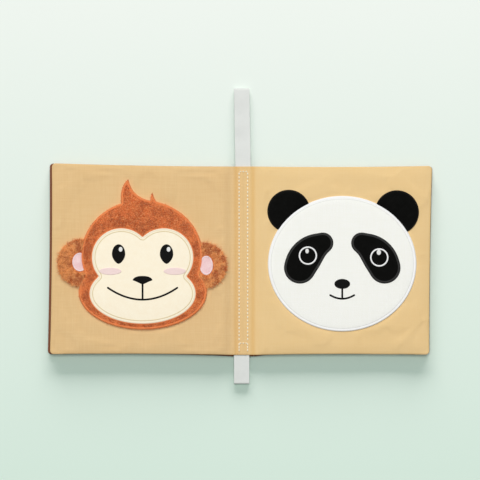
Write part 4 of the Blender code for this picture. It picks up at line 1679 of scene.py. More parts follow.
@dataclass(frozen=True)
class FaceForm:
    """An animal's face: where it is, how wide, and the rounded lobes of its outline, whose
    lengths are shares of its width."""

    x: float
    y: float
    width: float
    lobes: tuple[Shares, ...]

    @property
    def centre(self) -> Array:
        """The middle of the face."""
        return np.array([self.x, self.y])

    def at(self, x: float, y: float) -> Array:
        """A point given in shares of the width."""
        return self.centre + np.array([x, y]) * self.width

    def oval(self, x: float, y: float, *sizes: float, points: int = 120) -> Array:
        """An ellipse whose middle and two half sizes are shares of the width."""
        return ellipse(*self.at(x, y), *(size * self.width for size in sizes), points)

    def reach(self, angle: Array, lobes: Sequence[Shares]) -> Array:
        """How far rays from the middle run before they leave the last of the lobes."""
        return np.max([crossings(np.zeros(2), angle, lobe)[2] for lobe in lobes], axis=0)

    def outline(
        self, lobes: Sequence[Shares], locks: Sequence[Lock] = (), points: int = 420
    ) -> Outline:
        """The outline round the lobes, drawn once round, with a lock of hair at each stretch
        that a lock's feet mark off.

        Args:
            lobes: The lobes.
            locks: The locks, in the order of their feet.
            points: About how many points go once round.

        Returns:
            The outline.
        """
        if not locks:
            turn = np.linspace(0, FULL_TURN, points, endpoint=False)
            line = ray(turn, self.reach(turn, lobes))
            return Outline(self.centre, self.centre + line * self.width)
        parts, start = [], math.radians(locks[-1].left_foot)
        for lock in locks:
            right, left = math.radians(lock.right_foot), math.radians(lock.left_foot)
            span = (right - start) % FULL_TURN
            turn = start + np.linspace(0, span, max(2, round(points * span / FULL_TURN)))
            feet = ray(np.array([right, left]), self.reach(np.array([right, left]), lobes))
            tip, right_bow, left_bow = (
                ray(math.radians(angle), reach)
                for angle, reach in (lock.tip, lock.right_bow, lock.left_bow)
            )
            parts.append(ray(turn, self.reach(turn, lobes)))
            parts.append(bend(feet[0], right_bow, tip, 16))
            parts.append(bend(tip, left_bow, feet[1], 16)[:-1])
            start = left
        return Outline(self.centre, self.centre + np.concatenate(parts) * self.width)

    def ear(self, middle: Array, radius: float, tuck: float) -> Outline:
        """An ear's outline: a disc as far as the face's edge, which it is tucked under.

        Args:
            middle: The disc's centre.
            radius: The disc's radius.
            tuck: How far it goes on under the face.

        Returns:
            The outline, round a centre halfway out along the ear.
        """
        outward = middle - self.centre
        inside = middle + outward / np.linalg.norm(outward) * radius * 0.5
        turn = np.linspace(0, FULL_TURN, 240, endpoint=False)
        reach = crossings(inside, turn, (*middle, radius, radius))[2]
        for x, y, half_width, half_height in self.lobes:
            half_sizes = half_width * self.width - tuck, half_height * self.width - tuck
            meets, near, _ = crossings(inside, turn, (*self.at(x, y), *half_sizes))
            reach = np.where(meets & (near > 0), np.minimum(reach, near), reach)
        return Outline(inside, inside + ray(turn) * reach[:, None])


def kidney(
    start: Array, control: Array, stop: Array, radii: tuple[float, float], bulge: float
) -> Array:
    """The outline that a disc sweeps along a bent line.

    Args:
        start: The disc's centre at first.
        control: The point that the line bends towards.
        stop: The disc's centre at last.
        radii: Its radius at both ends.
        bulge: What is added to the radius midway.

    Returns:
        The outline.
    """
    t = np.linspace(0, 1, 60)
    line = np.concatenate([start[None], bend(start, control, stop, 59)])
    left = turned_left(line, closed=False)
    ahead = spots_at(left[:, 1], -left[:, 0])
    radius = (radii[0] + (radii[1] - radii[0]) * t + bulge * 4 * t * (1 - t))[:, None]
    turn = np.linspace(0, math.pi, 40)[1:-1, None]
    far_cap = line[-1] + radius[-1] * (-left[-1] * np.cos(turn) + ahead[-1] * np.sin(turn))
    near_cap = line[0] + radius[0] * (left[0] * np.cos(turn) - ahead[0] * np.sin(turn))
    return np.concatenate([line - left * radius, far_cap, (line + left * radius)[::-1], near_cap])


@dataclass
class Applique:
    """Sewing onto one page, which keeps the ground that each patch builds up."""

    ground: Ground
    body: str

    def patch(self, name: str, cut: CutPiece, finish: Finish, slot: str) -> None:
        """Sews on a cut patch that stands for the node of its name.

        Args:
            name: The node's name.
            cut: The patch.
            finish: What it is finished in.
            slot: Not used.
        """
        piece = cut.skin(self.ground).build(f"{name}_patch", finish)
        dress(piece, [name], self.body)
        self.ground.add(cut.rise)

    def filling(
        self, name: str, line: Array, finish: Finish, slot: str, thickness: float = 0.35 * MM
    ) -> None:
        """Embroiders a shape solid, in place of the node of its name.

        Args:
            name: The node's name.
            line: The shape's outline.
            finish: What it is stitched in.
            slot: Not used.
            thickness: How thick the stitching is.
        """
        outline = Outline(line.mean(axis=0), line)
        cut = CutPiece(outline, thickness, rim=0.6 * MM, rings=12, spacing=0.3 * MM)
        piece = cut.skin(self.ground).build(f"{name}_stitching", finish)
        dress(piece, [name], self.body)

    def line(
        self, name: str, line: Array, thread: LaidThread, finish: Finish, slot: str,
        nodes: Sequence[str] = (), closed: bool = True,
    ) -> None:
        """Embroiders a raised line along a line in plan, in place of the nodes that it names."""
        piece = thread.skin(line, self.ground, closed).build(name, finish, 70)
        dress(piece, nodes, self.body)


@dataclass
class EarFlap:
    """A flap ear, tucked under the face; the real ear lifts at its hinge."""

    name: str
    page: str
    outline: Outline
    outward: Array
    hinge: Array
    finish: Finish
    slot: str
    thickness: float = 2.0 * MM
    rim: float = 3.0 * MM
    turn_over: float = 1.5 * MM
    level: float = 8.2 * MM

    def hang(self, piece: Piece, slot: str, nodes: Sequence[str] = ()) -> Piece:
        """Bakes a piece's place into its mesh and hides the nodes that it stands for.

        Args:
            piece: The piece.
            slot: Not used.
            nodes: The nodes that it stands for.

        Returns:
            The same piece.
        """
        start = Spread.spot(*self.hinge, self.level)
        stop = Spread.spot(*(self.hinge + self.outward * self.turn_over), self.level)
        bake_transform(piece)
        return dress(piece, nodes)

    def build(self, ground: Ground) -> Ground:
        """Builds the flap.

        Args:
            ground: The page under it.

        Returns:
            The ground on top of the flap.
        """
        cut = CutPiece(self.outline, self.thickness, rim=self.rim, rings=20, spacing=0.8 * MM)
        piece = cut.skin(ground).build(f"{self.name}_flap", self.finish)
        self.hang(piece, self.slot, [self.name])
        return ground.raised(cut.rise)

    def edge(self, ground: Ground, thread: LaidThread, finish: Finish) -> None:
        """Stitches the flap's edge as far as the hinge.

        Args:
            ground: The top of the flap.
            thread: The stitching.
            finish: What it is stitched in.
        """
        line = self.outline.inset(thread.width / 2 + 0.2 * MM).line
        line = line[(line - self.hinge) @ self.outward > 0.8 * MM]
        first = np.argmax(np.linalg.norm(line - np.roll(line, 1, axis=0), axis=1))
        skin = thread.skin(np.roll(line, -first, axis=0), ground, closed=False)
        self.hang(skin.build(f"{self.name}_edge", finish, 70), self.slot)


@dataclass
class Animal:
    """What both animals have: flap ears under a face, and a smile. Their lengths are shares of
    the face's width, unless they are given in metres."""

    name: str
    body: str
    form: FaceForm
    ears: tuple[Shares, Shares]
    smile: Shares
    smile_width: float
    ear_finish: Finish
    ear_slot: str
    tuck: float = 0.7 * MM

    def flap(self, side: Side, disc: tuple[Array, float], outward: Array, hinge: Array) -> EarFlap:
        """An ear's flap, from its disc's centre and radius, the way out and its hinge."""
        name, outline = f"{self.name}_{side.word}_ear", self.form.ear(*disc, self.tuck)
        return EarFlap(name, self.body, outline, outward, hinge, self.ear_finish, self.ear_slot)

    def mouth(self, sewing: Applique) -> None:
        """Embroiders the bow of the mouth, whose height is a square of the place across, and
        its stem.

        Args:
            sewing: The page's sewing.
        """
        half_span, corner, lowest, top = self.smile
        t = np.linspace(-1, 1, 121)
        bow = spots_at(half_span * t, lowest + (corner - lowest) * t * t)
        stem = spots_at(0.0, np.linspace(top, lowest, 31))
        thread, name = LaidThread(self.smile_width, 0.4 * MM), f"{self.name}_mouth"
        for word, shares in (("bow", bow), ("stem", stem)):
            line = self.form.centre + shares * self.form.width
            black = (Finishes.BLACK_SATIN, "black_thread")
            sewing.line(f"{name}_{word}", line, thread, *black, [name], closed=False)


@dataclass
class Monkey(Animal):
    """The monkey: a plush head with flap ears and a cream face."""

    name: str = "monkey"
    body: str = "left_page"
    form: FaceForm = FaceForm(
        -79.7 * MM,
        -9.5 * MM,
        101 * MM,
        ((-0.006, 0.132, 0.473, 0.429), (0, 0.010, 0.448, 0.25), (0.001, -0.156, 0.501, 0.293)),
    )
    ears: tuple[Shares, Shares] = ((0.481, 0.073, 0.1836), (0.479, 0.052, 0.1760))
    smile: Shares = (0.277, -0.118, -0.215, -0.090)
    smile_width: float = 1.5 * MM
    ear_finish: Finish = Finishes.RUSSET_GROUND
    ear_slot: str = "russet_plush"
    face_lobes: tuple[Shares, ...] = (
        (-0.166, 0.114, 0.2305, 0.228),
        (0.166, 0.114, 0.2305, 0.228),
        (0, -0.168, 0.415, 0.236),
    )
    locks: tuple[Lock, ...] = (
        Lock(79.1, 83.6, (83.1, 0.626), (81.4, 0.583), (84.4, 0.598)),
        Lock(84.5, 107.1, (98.8, 0.735), (98.4, 0.594), (106.1, 0.676)),
    )
    linings: tuple[Shares, Shares] = ((0.008, 0.005, 0.060, 0.073), (0.018, 0.0, 0.053, 0.076))
    eye: Shares = (0.187, 0.141, 0.052, 0.076)
    eye_point: float = 0.3
    glint: Shares = (0.016, 0.036, 0.0165, 0.0205)
    cheek: Shares = (0.2515, 0.007, 0.087, 0.0285)
    nose: Shares = (-0.064, 0.077, 0.034)
    head_thickness: float = 1.25 * MM
    head_crown: float = 0.9 * MM
    face_thickness: float = 0.7 * MM

    def head(self) -> Outline:
        """The head's outline."""
        return self.form.outline(self.form.lobes, self.locks)

    def sew_ears(self, ground: Ground) -> None:
        """Builds both ears, with their pink linings and their pile.

        Args:
            ground: The page under them.
        """
        width = self.form.width
        for side, (x, y, share), lining in zip(Side, self.ears, self.linings):
            sign = side.value
            middle, outward = self.form.at(sign * x, y), np.array([float(sign), 0.0])
            low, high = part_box(f"monkey_{side.word}_ear")
            inner = (low.x if side is Side.RIGHT else high.x) - Spread.origin[0]
            hinge = np.array([inner - sign * 1.6 * MM, middle[1]])
            flap = self.flap(side, (middle, share * width), outward, hinge)
            raised = flap.build(ground)
            out, up, half_width, half_height = (v * width for v in lining)
            spot = middle + outward * out + np.array([0, up])
            oval = Outline(spot, ellipse(*spot, half_width, half_height))
            self.line_ear(flap, oval, raised)
            tufts = Tufts(0.42 * MM, 2.1 * MM, 0.15 * MM, 0.65, 31 + sign, 0.15 * MM, push=0.75)
            pile = tufts.skin(flap.outline, oval, raised)
            flap.hang(pile.build(f"{flap.name}_pile", Finishes.EAR_PILE), self.ear_slot)

    def line_ear(self, flap: EarFlap, oval: Outline, ground: Ground) -> None:
        """Sews a pink lining with a stitched rim onto an ear.

        Args:
            flap: The ear.
            oval: The lining's outline.
            ground: The top of the ear.
        """
        lining = CutPiece(oval, 0.55 * MM, rim=0.7 * MM, rings=12, spacing=0.5 * MM)
        piece = lining.skin(ground).build(f"{flap.name}_lining_patch", Finishes.PINK_FELT)
        flap.hang(piece, "pink_thread", [f"{flap.name}_lining"])
        over = ground.raised(lining.rise)
        rim = LaidThread(1.1 * MM, 0.35 * MM).skin(oval.inset(0.5 * MM).line, over)
        flap.hang(rim.build(f"{flap.name}_lining_edge", Finishes.PINK_SATIN), "pink_thread")

    def build(self, ground: Ground) -> None:
        """Builds the monkey on its page.

        Args:
            ground: The page.
        """
        self.sew_ears(ground)
        sewing = Applique(ground, self.body)
        head, face = self.head(), self.form.outline(self.face_lobes)
        cut = CutPiece(head, self.head_thickness, rim=0.7 * MM, crown=self.head_crown, rings=44)
        sewing.patch("monkey_head", cut, Finishes.RUSSET_GROUND, "russet_plush")
        tufts = Tufts(0.46 * MM, 1.25 * MM, 0.18 * MM, 0.6, 7, 0.1 * MM, overlap=0.4 * MM)
        pile = tufts.skin(head, face.inset(-0.8 * MM), ground)
        pile = pile.build("monkey_head_pile", Finishes.RUSSET_PILE)
        dress(pile, body=self.body)
        russet = (Finishes.RUSSET_SATIN, "russet_plush")
        surround, border = LaidThread(1.0 * MM, 0.7 * MM), LaidThread(2.1 * MM, 0.8 * MM)
        sewing.line("monkey_face_surround", face.inset(-0.3 * MM).line, surround, *russet)
        sewing.line("monkey_head_edge", head.inset(0.9 * MM).line, border, *russet)
        cut = CutPiece(face, self.face_thickness, rim=0.5 * MM, crown=0.3 * MM, rings=36)
        sewing.patch("monkey_face", cut, Finishes.CREAM_FELT, "cream_felt")
        edge, inner = LaidThread(1.7 * MM, 0.16 * MM), LaidThread(0.7 * MM, 0.16 * MM)
        rim, contour = face.inset(0.6 * MM).line, face.inset(2.5 * MM).line
        sewing.line("monkey_face_edge", rim, edge, Finishes.CREAM_SATIN, "cream_felt")
        sewing.line("monkey_face_contour", contour, inner, Finishes.TAN_SATIN, "cream_felt")
        self.features(sewing)

    def features(self, sewing: Applique) -> None:
        """Embroiders the eyes, cheeks, nose and mouth. An eye narrows to a blunt point below, by
        a square of the depth under its middle.

        Args:
            sewing: The page's sewing.
        """
        for side in Side:
            sign, name = side.value, f"monkey_{side.word}"
            x, y, half_width, half_height = self.eye
            spot = self.form.at(sign * x, y)
            eye = self.form.oval(sign * x, y, half_width, half_height)
            drop = np.clip((spot[1] - eye[:, 1]) / (half_height * self.form.width), 0, 1)
            eye[:, 0] = spot[0] + (eye[:, 0] - spot[0]) * (1 - self.eye_point * drop**2)
            sewing.filling(f"{name}_eye", eye, Finishes.BLACK_FILL, "black_thread", 0.5 * MM)
            off_x, off_y, *sizes = self.glint
            glint = self.form.oval(sign * x + off_x, y + off_y, *sizes, points=40)
            white = (Finishes.WHITE_FILL, "white_thread", 0.75 * MM)
            sewing.filling(f"{name}_eye_glint", glint, *white)
            x, y, *sizes = self.cheek
            cheek = self.form.oval(sign * x, y, *sizes)
            sewing.filling(f"{name}_cheek", cheek, Finishes.PINK_FILL, "pink_thread")
        black = (Finishes.BLACK_FILL, "black_thread", 0.45 * MM)
        sewing.filling("monkey_nose", self.nose_line(), *black)
        self.mouth(sewing)

    def nose_line(self) -> Array:
        """The nose's outline: a flattened dome above, and below it sides that fall in to the
        stem of the mouth, each by a power of the share of the way out.

        Returns:
            The outline in plan.
        """
        level, half_width, height = self.nose
        out, up = ray(np.linspace(0, FULL_TURN, 120, endpoint=False)).T
        above = np.maximum(1 - np.abs(out) ** 2.4, 0) ** 0.55
        below = -((1 - np.abs(out)) ** 1.15)
        shares = spots_at(out * half_width, np.where(up > 0, above, below) * height)
        return self.form.at(0, level) + shares * self.form.width


@dataclass
class Panda(Animal):
    """The panda: a white face with black flap ears and eye patches."""

    name: str = "panda"
    body: str = "right_page"
    form: FaceForm = FaceForm(77.7 * MM, -2.9 * MM, 117 * MM, ((0, 0, 0.5, 0.456),))
    ears: tuple[Shares, Shares] = ((0.3605, 0.354, 0.1445), (0.3685, 0.346, 0.1490))
    smile: Shares = (0.0860, -0.2085, -0.2360, -0.166)
    smile_width: float = 1.5 * MM
    ear_finish: Finish = Finishes.BLACK_FELT
    ear_slot: str = "black_felt"
    patch: tuple[Shares, ...] = ((0.2856, -0.0266), (0.2418, 0.0886), (0.130, 0.140))
    patch_radii: Shares = (0.108, 0.0715, 0.0195)
    ring_radius: float = 0.0568
    ring_width: float = 0.0105
    rings: tuple[Shares, Shares] = ((-0.2315, 0.0543), (0.2493, 0.0417))
    glints: tuple[Shares, Shares] = (
        (-0.0054, 0.0307, 0.0120, 0.0165),
        (-0.0027, 0.0343, 0.0145, 0.0180),
    )
    nose: Shares = (0, -0.136, 0.053, 0.0335)
    face_thickness: float = 1.05 * MM
    face_crown: float = 0.35 * MM

    def head(self) -> Outline:
        """The face's outline."""
        return self.form.outline(self.form.lobes)

    def build(self, ground: Ground) -> None:
        """Builds the panda on its page.

        Args:
            ground: The page.
        """
        self.sew_ears(ground)
        sewing, face = Applique(ground, self.body), self.head()
        cut = CutPiece(face, self.face_thickness, rim=0.6 * MM, crown=self.face_crown, rings=44)
        sewing.patch("panda_face", cut, Finishes.WHITE, "white_cotton")
        edge, contour = face.inset(0.8 * MM).line, face.inset(2.4 * MM).line
        border, inner = LaidThread(1.9 * MM, 0.18 * MM), LaidThread(0.5 * MM, 0.10 * MM)
        sewing.line("panda_face_edge", edge, border, Finishes.WHITE_SATIN, "white_cotton")
        sewing.line("panda_face_contour", contour, inner, Finishes.PALE_SATIN, "white_cotton")
        self.eyes(sewing)
        black = (Finishes.BLACK_FILL, "black_thread", 0.5 * MM)
        sewing.filling("panda_nose", self.form.oval(*self.nose), *black)
        self.mouth(sewing)

    def sew_ears(self, ground: Ground) -> None:
        """Builds both black ears with their stitched edges. Each hinges just inside the face's
        edge.

        Args:
            ground: The page under them.
        """
        width = self.form.width
        for side, (x, y, share) in zip(Side, self.ears):
            outward = np.array([x, y]) / math.hypot(x, y) * (side.value, 1)
            angle = np.array([math.atan2(outward[1], outward[0])])
            rim = self.form.reach(angle, self.form.lobes)[0] * width
            hinge = self.form.centre + outward * (rim - 0.6 * MM)
            middle = self.form.at(side.value * x, y)
            flap = self.flap(side, (middle, share * width), outward, hinge)
            raised = flap.build(ground)
            flap.edge(raised, LaidThread(1.2 * MM, 0.2 * MM), Finishes.BLACK_SATIN)

    def eyes(self, sewing: Applique) -> None:
        """Sews on the eye patches, and embroiders a ring and a glint on each.

        Args:
            sewing: The page's sewing.
        """
        width = self.form.width
        *radii, bulge = (v * width for v in self.patch_radii)
        for side, ring_place, glint in zip(Side, self.rings, self.glints):
            name = f"panda_{side.word}_eye"
            line = kidney(*(self.form.at(side.value * x, y) for x, y in self.patch), radii, bulge)
            line = smoothed(evenly(line, 0.5 * MM, closed=True), 24)
            outline = Outline(line.mean(axis=0), line)
            cut = CutPiece(outline, 0.6 * MM, rim=0.5 * MM, crown=0.2 * MM, rings=24)
            sewing.patch(f"{name}_patch", cut, Finishes.BLACK_FELT, "black_felt")
            line, edge = outline.inset(1.2 * MM).line, LaidThread(1.5 * MM, 0.25 * MM)
            sewing.line(f"{name}_patch_edge", line, edge, Finishes.GREY_SATIN, "black_felt")
            ring = self.form.oval(*ring_place, self.ring_radius, self.ring_radius)
            thread, white = LaidThread(self.ring_width * width, 0.5 * MM), "white_thread"
            ring_name = f"{name}_ring"
            sewing.line(
                f"{ring_name}_stitching", ring, thread, Finishes.WHITE_SATIN, white, [ring_name]
            )
            spot = self.form.at(*ring_place) + np.array(glint[:2]) * width
            shape = ellipse(*spot, *(size * width for size in glint[2:]), 40)
            sewing.filling(f"{name}_glint", shape, Finishes.WHITE_FILL, white)


@dataclass
class Binding:
    """What holds the sheets together at the spine: thread, and a tape with a loop at each end."""

    page: Leaf
    top: float = 69.9 * MM
    bottom: float = -65.6 * MM
    tail: float = -73.8 * MM
    stitch: float = 2.1 * MM
    pitch: float = 2.9 * MM
    cross_stitch: float = 1.6 * MM
    cross_pitch: float = 2.35 * MM
    thread: float = 0.46 * MM
    tape_width: float = 12 * MM
    tape_thickness: float = 0.4 * MM
    fold_radius: float = 1.0 * MM
    droop: float = 2.0 * MM
    root: float = 1.5 * MM
    root_gap: float = 0.15 * MM

    def build(self) -> None:
        """Builds the thread, the tape and both loops."""
        self.stitches()
        self.tape()
        self.loop("top", 1, 61.2 * MM, -0.5 * MM, -1.1 * MM)
        self.loop("bottom", -1, 23.5 * MM, -1.6 * MM, 0.0)

    def stitches(self) -> None:
        """Sews two rows down the spine and one across it at each end."""
        row, middle = Spread.stitch_row, -0.25 * MM
        long_rows = np.arange(self.top - 0.8 * MM, self.bottom + self.stitch, -self.pitch)
        tails = np.arange(self.bottom, self.tail + self.stitch, -self.stitch * 1.08)
        down = np.concatenate([long_rows, tails])
        across = middle + np.array([-1.0, 0.0, 1.0]) * self.cross_pitch
        starts = [spots_at(x, down) for x in (middle - row, middle + row)]
        stops = [spots_at(x, down - self.stitch) for x in (middle - row, middle + row)]
        for y in (self.top, self.bottom):
            starts.append(spots_at(across - self.cross_stitch / 2, y))
            stops.append(spots_at(across + self.cross_stitch / 2, y))
        rows = RunningStitch(self.stitch, self.thread)
        ground = Ground(self.page.ground_height)
        skin = rows.between(np.concatenate(starts), np.concatenate(stops), ground)
        piece = skin.build("binding_stitches", Finishes.WHITE_THREAD)
        dress(piece, ["binding_thread"], "spine")

    def ribbon(self, name: str, faces: Sequence[Array], node: str, body: str | None) -> Piece:
        """Makes a ribbon between two faces, mapped by its length and the share across it.

        Args:
            name: The piece's name.
            faces: Its upper and lower face.
            node: The node that it stands for.
            body: The body that it rides on, if any.

        Returns:
            The piece.
        """
        skin = shell(*faces)
        spots = skin.points[np.concatenate([face.ravel() for face in skin.faces])]
        skin.corner_map = spots_at(spots[:, 1], spots[:, 0] / self.tape_width + 0.5)
        return dress(skin.build(name, Finishes.TAPE), [node], body)

    def tape(self) -> None:
        """Lays the tape inside the spine."""
        end, half = Spread.page_half - self.root, self.tape_width / 2
        y = np.linspace(-end, end, 40)
        middle = np.interp(y, [-end, end], [-1.6 * MM, -0.5 * MM])
        x = middle[:, None] + half * np.linspace(-1, 1, 12)
        flat = spots_at(x, y[:, None])
        faces = [
            np.dstack([flat, np.full_like(x, Spread.sheet_middle + sign * 0.45 * MM)])
            for sign in (1, -1)
        ]
        piece = self.ribbon("spine_tape_strip", faces, "spine_tape", "spine")
        2 * end

    def hairpin(self, length: float, extra: float) -> Array:
        """A loop's line from the side: out from its root, round the fold and back, opening a
        little towards its fold.

        Args:
            length: How far it reaches from its root.
            extra: How far the line is outside the tape's inner face.

        Returns:
            The run from the root and the height above the middle, along the line.
        """
        straight = length - self.fold_radius - self.tape_thickness
        share = np.linspace(0, 1, 60)
        gap = self.root_gap + (self.fold_radius - self.root_gap) * smooth_step(share)
        turn = np.linspace(math.pi / 2, -math.pi / 2, 16)[1:-1]
        out = spots_at(straight * share, gap + extra)
        fold = np.array([straight, 0]) + ray(turn, self.fold_radius + extra)
        return np.concatenate([out, fold, out[::-1] * (1, -1)])

    def loop(self, word: str, side: int, reach: float, offset: float, lean: float) -> None:
        """Folds a ribbon back on itself. Its root lies between the sheets, where the tape ends.

        Args:
            word: Which loop it is.
            side: Which end of the spine it is at.
            reach: How far it reaches past the pages.
            offset: How far off the middle it starts.
            lean: How far it leans sideways at its fold.
        """
        length, root = reach + self.root, Spread.page_half - self.root
        faces = []
        for extra in (self.tape_thickness, 0.0):
            run, rise = self.hairpin(length, extra).T
            rise = rise - self.droop * smooth_step(run / length)
            middle = offset + lean * run / length
            x = middle[:, None] + self.tape_width / 2 * np.linspace(-1, 1, 14)
            flat = spots_at(x, (side * (root + run))[:, None])
            wave = ripples(flat, 30 * MM, 40 + side) * (0.15 * MM)
            wave = wave * smooth_step(run / (10 * MM))[:, None]
            faces.append(np.dstack([flat, Spread.sheet_middle + rise[:, None] + wave]))
        piece = self.ribbon(f"{word}_ribbon_loop_tape", faces, f"{word}_ribbon_loop", None)
        start = Spread.spot(0, side * Spread.page_half, Spread.sheet_middle)
        stop = Spread.spot(0, side * (Spread.page_half + 5 * MM), Spread.sheet_middle)
        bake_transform(piece)
        steps = np.diff(self.hairpin(length, self.tape_thickness / 2), axis=0)


@dataclass(frozen=True)
class Lamp:
    """A soft oblong lamp: where it hangs, as a direction and a distance from the book, its
    width and height, and the share of a white surface's brightness that it gives."""

    name: str
    turn: float
    rise: float
    distance: float
    width: float
    height: float
    share: float
    colour: Colour = (1.0, 1.0, 1.0)

    def hang(self) -> Piece:
        """Hangs the lamp facing the book.

        Its power is its share times the square of pi times the distance, over the sine of its
        rise and over what its width leaves of a small lamp's light: half of w / (1 + w * w) plus
        the arc tangent of w, over w, where w is half the width over the distance.

        Returns:
            The lamp.
        """
        turn, rise = math.radians(self.turn), math.radians(self.rise)
        wide = self.width / 2 / self.distance
        kept = (wide / (1 + wide * wide) + math.atan(wide)) / (2 * wide)
        level = math.cos(rise)
        way = Vector((math.sin(turn) * level, math.cos(turn) * level, math.sin(rise)))
        light = bpy.data.lights.new(self.name, "AREA")
        light.shape, light.size, light.size_y = "RECTANGLE", self.width, self.height
        light.energy = self.share * (math.pi * self.distance) ** 2 / math.sin(rise) / kept
        light.color = self.colour
        lamp = bpy.data.objects.new(self.name, light)
        lamp.location = way * self.distance
        lamp.rotation_euler = (-way).to_track_quat("-Z", "Y").to_euler()
        bpy.context.scene.collection.objects.link(lamp)
        return lamp


@dataclass(frozen=True)
class Studio:
    """The table, the lamps and the camera."""

    frame_width: float = 379 * MM
    distance: float = 3.0
    sensor: float = 36.0
    level: float = 0.20
    table_half: float = 1.6
    overhead: Lamp = Lamp("overhead", 0, 80, 4.0, 2.0, 2.0, 0.41)
    window: Lamp = Lamp("window", -14, 52, 4.0, 2.0, 1.2, 0.43)
    low_window: Lamp = Lamp("low_window", 0, 15, 5.0, 4.5, 1.7, 0.48, (1.0, 0.84, 0.89))

    def build(self) -> None:
        """Builds the whole of it. The low window lights the table alone, for the long shadow,
        and the window lights the book alone."""
        bpy.context.scene.view_settings.view_transform = "Standard"
        book = [obj for obj in bpy.context.scene.objects if obj.type == "MESH"]
        table = self.table()
        self.world()
        self.overhead.hang()
        self.only(self.low_window.hang(), [table])
        self.only(self.window.hang(), book)
        self.camera()

    def only(self, lamp: Piece, lit: Iterable[Piece]) -> None:
        """Makes a lamp light nothing but these objects, which still shade each other.

        Args:
            lamp: The lamp.
            lit: The objects.
        """
        group = bpy.data.collections.new(f"lit_by_{lamp.name}")
        for obj in lit:
            group.objects.link(obj)
        lamp.light_linking.receiver_collection = group

    def table(self) -> Piece:
        """Lays the tabletop under the book.

        Returns:
            The tabletop.
        """
        mesh, half = bpy.data.meshes.new("tabletop"), self.table_half
        corners = [(-half, -half, 0), (half, -half, 0), (half, half, 0), (-half, half, 0)]
        mesh.from_pydata(corners, [], [(0, 1, 2, 3)])
        finish = Tabletop("pale_table", tint(228, 242, 233), tint(211, 237, 222))
        mesh.materials.append(Finishes.of(finish))
        table = bpy.data.objects.new("tabletop", mesh)
        bpy.context.scene.collection.objects.link(table)
        return table

    def world(self) -> None:
        """Lights the room evenly."""
        world = bpy.data.worlds.new("room")
        bpy.context.scene.world = world
        world.use_nodes = True
        background = world.node_tree.nodes["Background"]
        background.inputs["Color"].default_value = (0.97, 1.0, 0.98, 1)
        background.inputs["Strength"].default_value = self.level

    def camera(self) -> None:
        """Hangs the camera high over the book, looking straight down."""
        lens = self.sensor * self.distance / self.frame_width
        data = bpy.data.cameras.new("camera")
        data.sensor_width, data.lens = self.sensor, lens
        data.clip_end = 2 * self.distance
        camera = bpy.data.objects.new("camera", data)
        camera.location = (-0.37 * MM, -3.06 * MM, self.distance + 5 * MM)
        bpy.context.scene.collection.objects.link(camera)
        bpy.context.scene.camera = camera


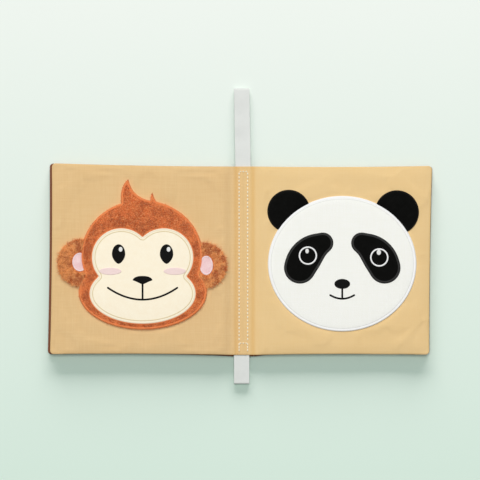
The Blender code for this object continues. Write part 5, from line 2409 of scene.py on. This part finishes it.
class ClothBook:
    """The whole book."""

    spine_top: float = -0.7 * MM
    page_strays: dict[Side, Stray] = {
        Side.LEFT: Stray(spine_top, -0.4 * MM, 0.1 * MM, 1.9 * MM, 1.6 * MM, 0.2 * MM),
        Side.RIGHT: Stray(spine_top, -0.4 * MM, 1.2 * MM, -0.2 * MM, -1.0 * MM, -0.2 * MM),
    }
    cover_strays: dict[Side, Stray] = {
        Side.LEFT: Stray(-MM, -0.6 * MM, 0.1 * MM, 1.6 * MM, 1.6 * MM, 1.0 * MM, 2.6),
        Side.RIGHT: Stray(-MM, -0.6 * MM, 1.0 * MM, -0.5 * MM, -1.3 * MM, 0.7 * MM, 12),
    }

    def page(self, side: Side) -> LeafForm:
        """Half of the middle sheet.

        Args:
            side: Which half.

        Returns:
            Its form.
        """
        reach = Spread.left_reach if side is Side.LEFT else Spread.right_reach
        half, stray = Spread.page_half, self.page_strays[side]
        return LeafForm(side, reach, half, half, Spread.page_hinge, Spread.page_seam, stray=stray)

    def cover(self, side: Side) -> LeafForm:
        """Half of the cover, a little larger than the page on it.

        Args:
            side: Which half.

        Returns:
            Its form.
        """
        reach = {Side.LEFT: Spread.left_reach + 2.0 * MM, Side.RIGHT: Spread.right_reach + 0.7 * MM}
        top, bottom = Spread.page_half + 0.2 * MM, Spread.page_half + 1.0 * MM
        levels = Spread.cover_hinge, Spread.cover_seam
        return LeafForm(side, reach[side], top, bottom, *levels, stray=self.cover_strays[side])

    def cover_strip(self, side: Side) -> None:
        """Builds half of the cover's spine, which ends just short of its leaf.

        Args:
            side: Which half.
        """
        out, bead, half = 8.0 * MM, 0.63 * MM, Spread.page_half
        share = np.linspace(0, 1, 36)
        edge = bead * dome((1 - share) * out / bead)[:, None]
        across = side.value * np.maximum(share * out, 0.01 * MM)
        up = np.linspace(-half - 1.6 * MM, half - 0.8 * MM, 60)
        flat = spots_at(across[:, None], up)
        rises = [np.broadcast_to(Spread.cover_hinge + sign * edge, (36, 60)) for sign in (1, -1)]
        layers = [np.dstack([flat, rise]) for rise in rises]
        # The strip's fold mark is zero, so it gets no painted shade.
        skin = shell(*layers, {"fold": np.zeros((36, 60))})
        piece = skin.build(f"{side.word}_cover_spine_strip", Finishes.RUST)
        start = Spread.spot(side.value * (out - 2.65 * MM), 0, Spread.cover_hinge)
        stop = Spread.spot(side.value * (out + 0.25 * MM), 0, Spread.cover_hinge)
        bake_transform(piece)
        dress(piece, ["cover_sheet_spine"])

    def build(self) -> None:
        """Builds the sheets, then the animals on them, then the binding."""
        animals = {Side.LEFT: Monkey(), Side.RIGHT: Panda()}
        gutters = {Side.LEFT: 6.0 * MM, Side.RIGHT: 7.3 * MM}
        grounds = {}
        for number, side in enumerate(Side):
            # fold sets the strength of the painted shade over the page's gutter.
            page = Leaf(
                f"{side.word}_page", self.page(side), Finishes.OCHRE,
                {Face.UPPER: "front_cloth", Face.LOWER: "back_cloth"},
                seed=11 + number * 10, step=1.1 * MM, over_spine=["page_sheet_spine"],
                sewn=[animals[side].head()], crease=1.0, dip=0.25 * MM, gutter=0.24 * MM,
                gutter_out=gutters[side], fold=0.75,
            )
            grounds[side] = page.build()
            cover = Leaf(
                f"{side.word}_cover", self.cover(side), Finishes.RUST,
                {Face.UPPER: "inner_cloth", Face.LOWER: "outer_cloth"},
                seed=15 + number * 10, step=2.2 * MM,
            )
            cover.build()
            self.cover_strip(side)
        for side, animal in animals.items():
            animal.build(grounds[side])
        Binding(page).build()


def main() -> None:
    """Builds the book and the studio round it."""
    logging.basicConfig(level=logging.INFO, format="%(message)s")
    Spread.settle()
    ClothBook().build()
    Studio().build()


if __name__ == "__main__":
    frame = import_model()
    main()
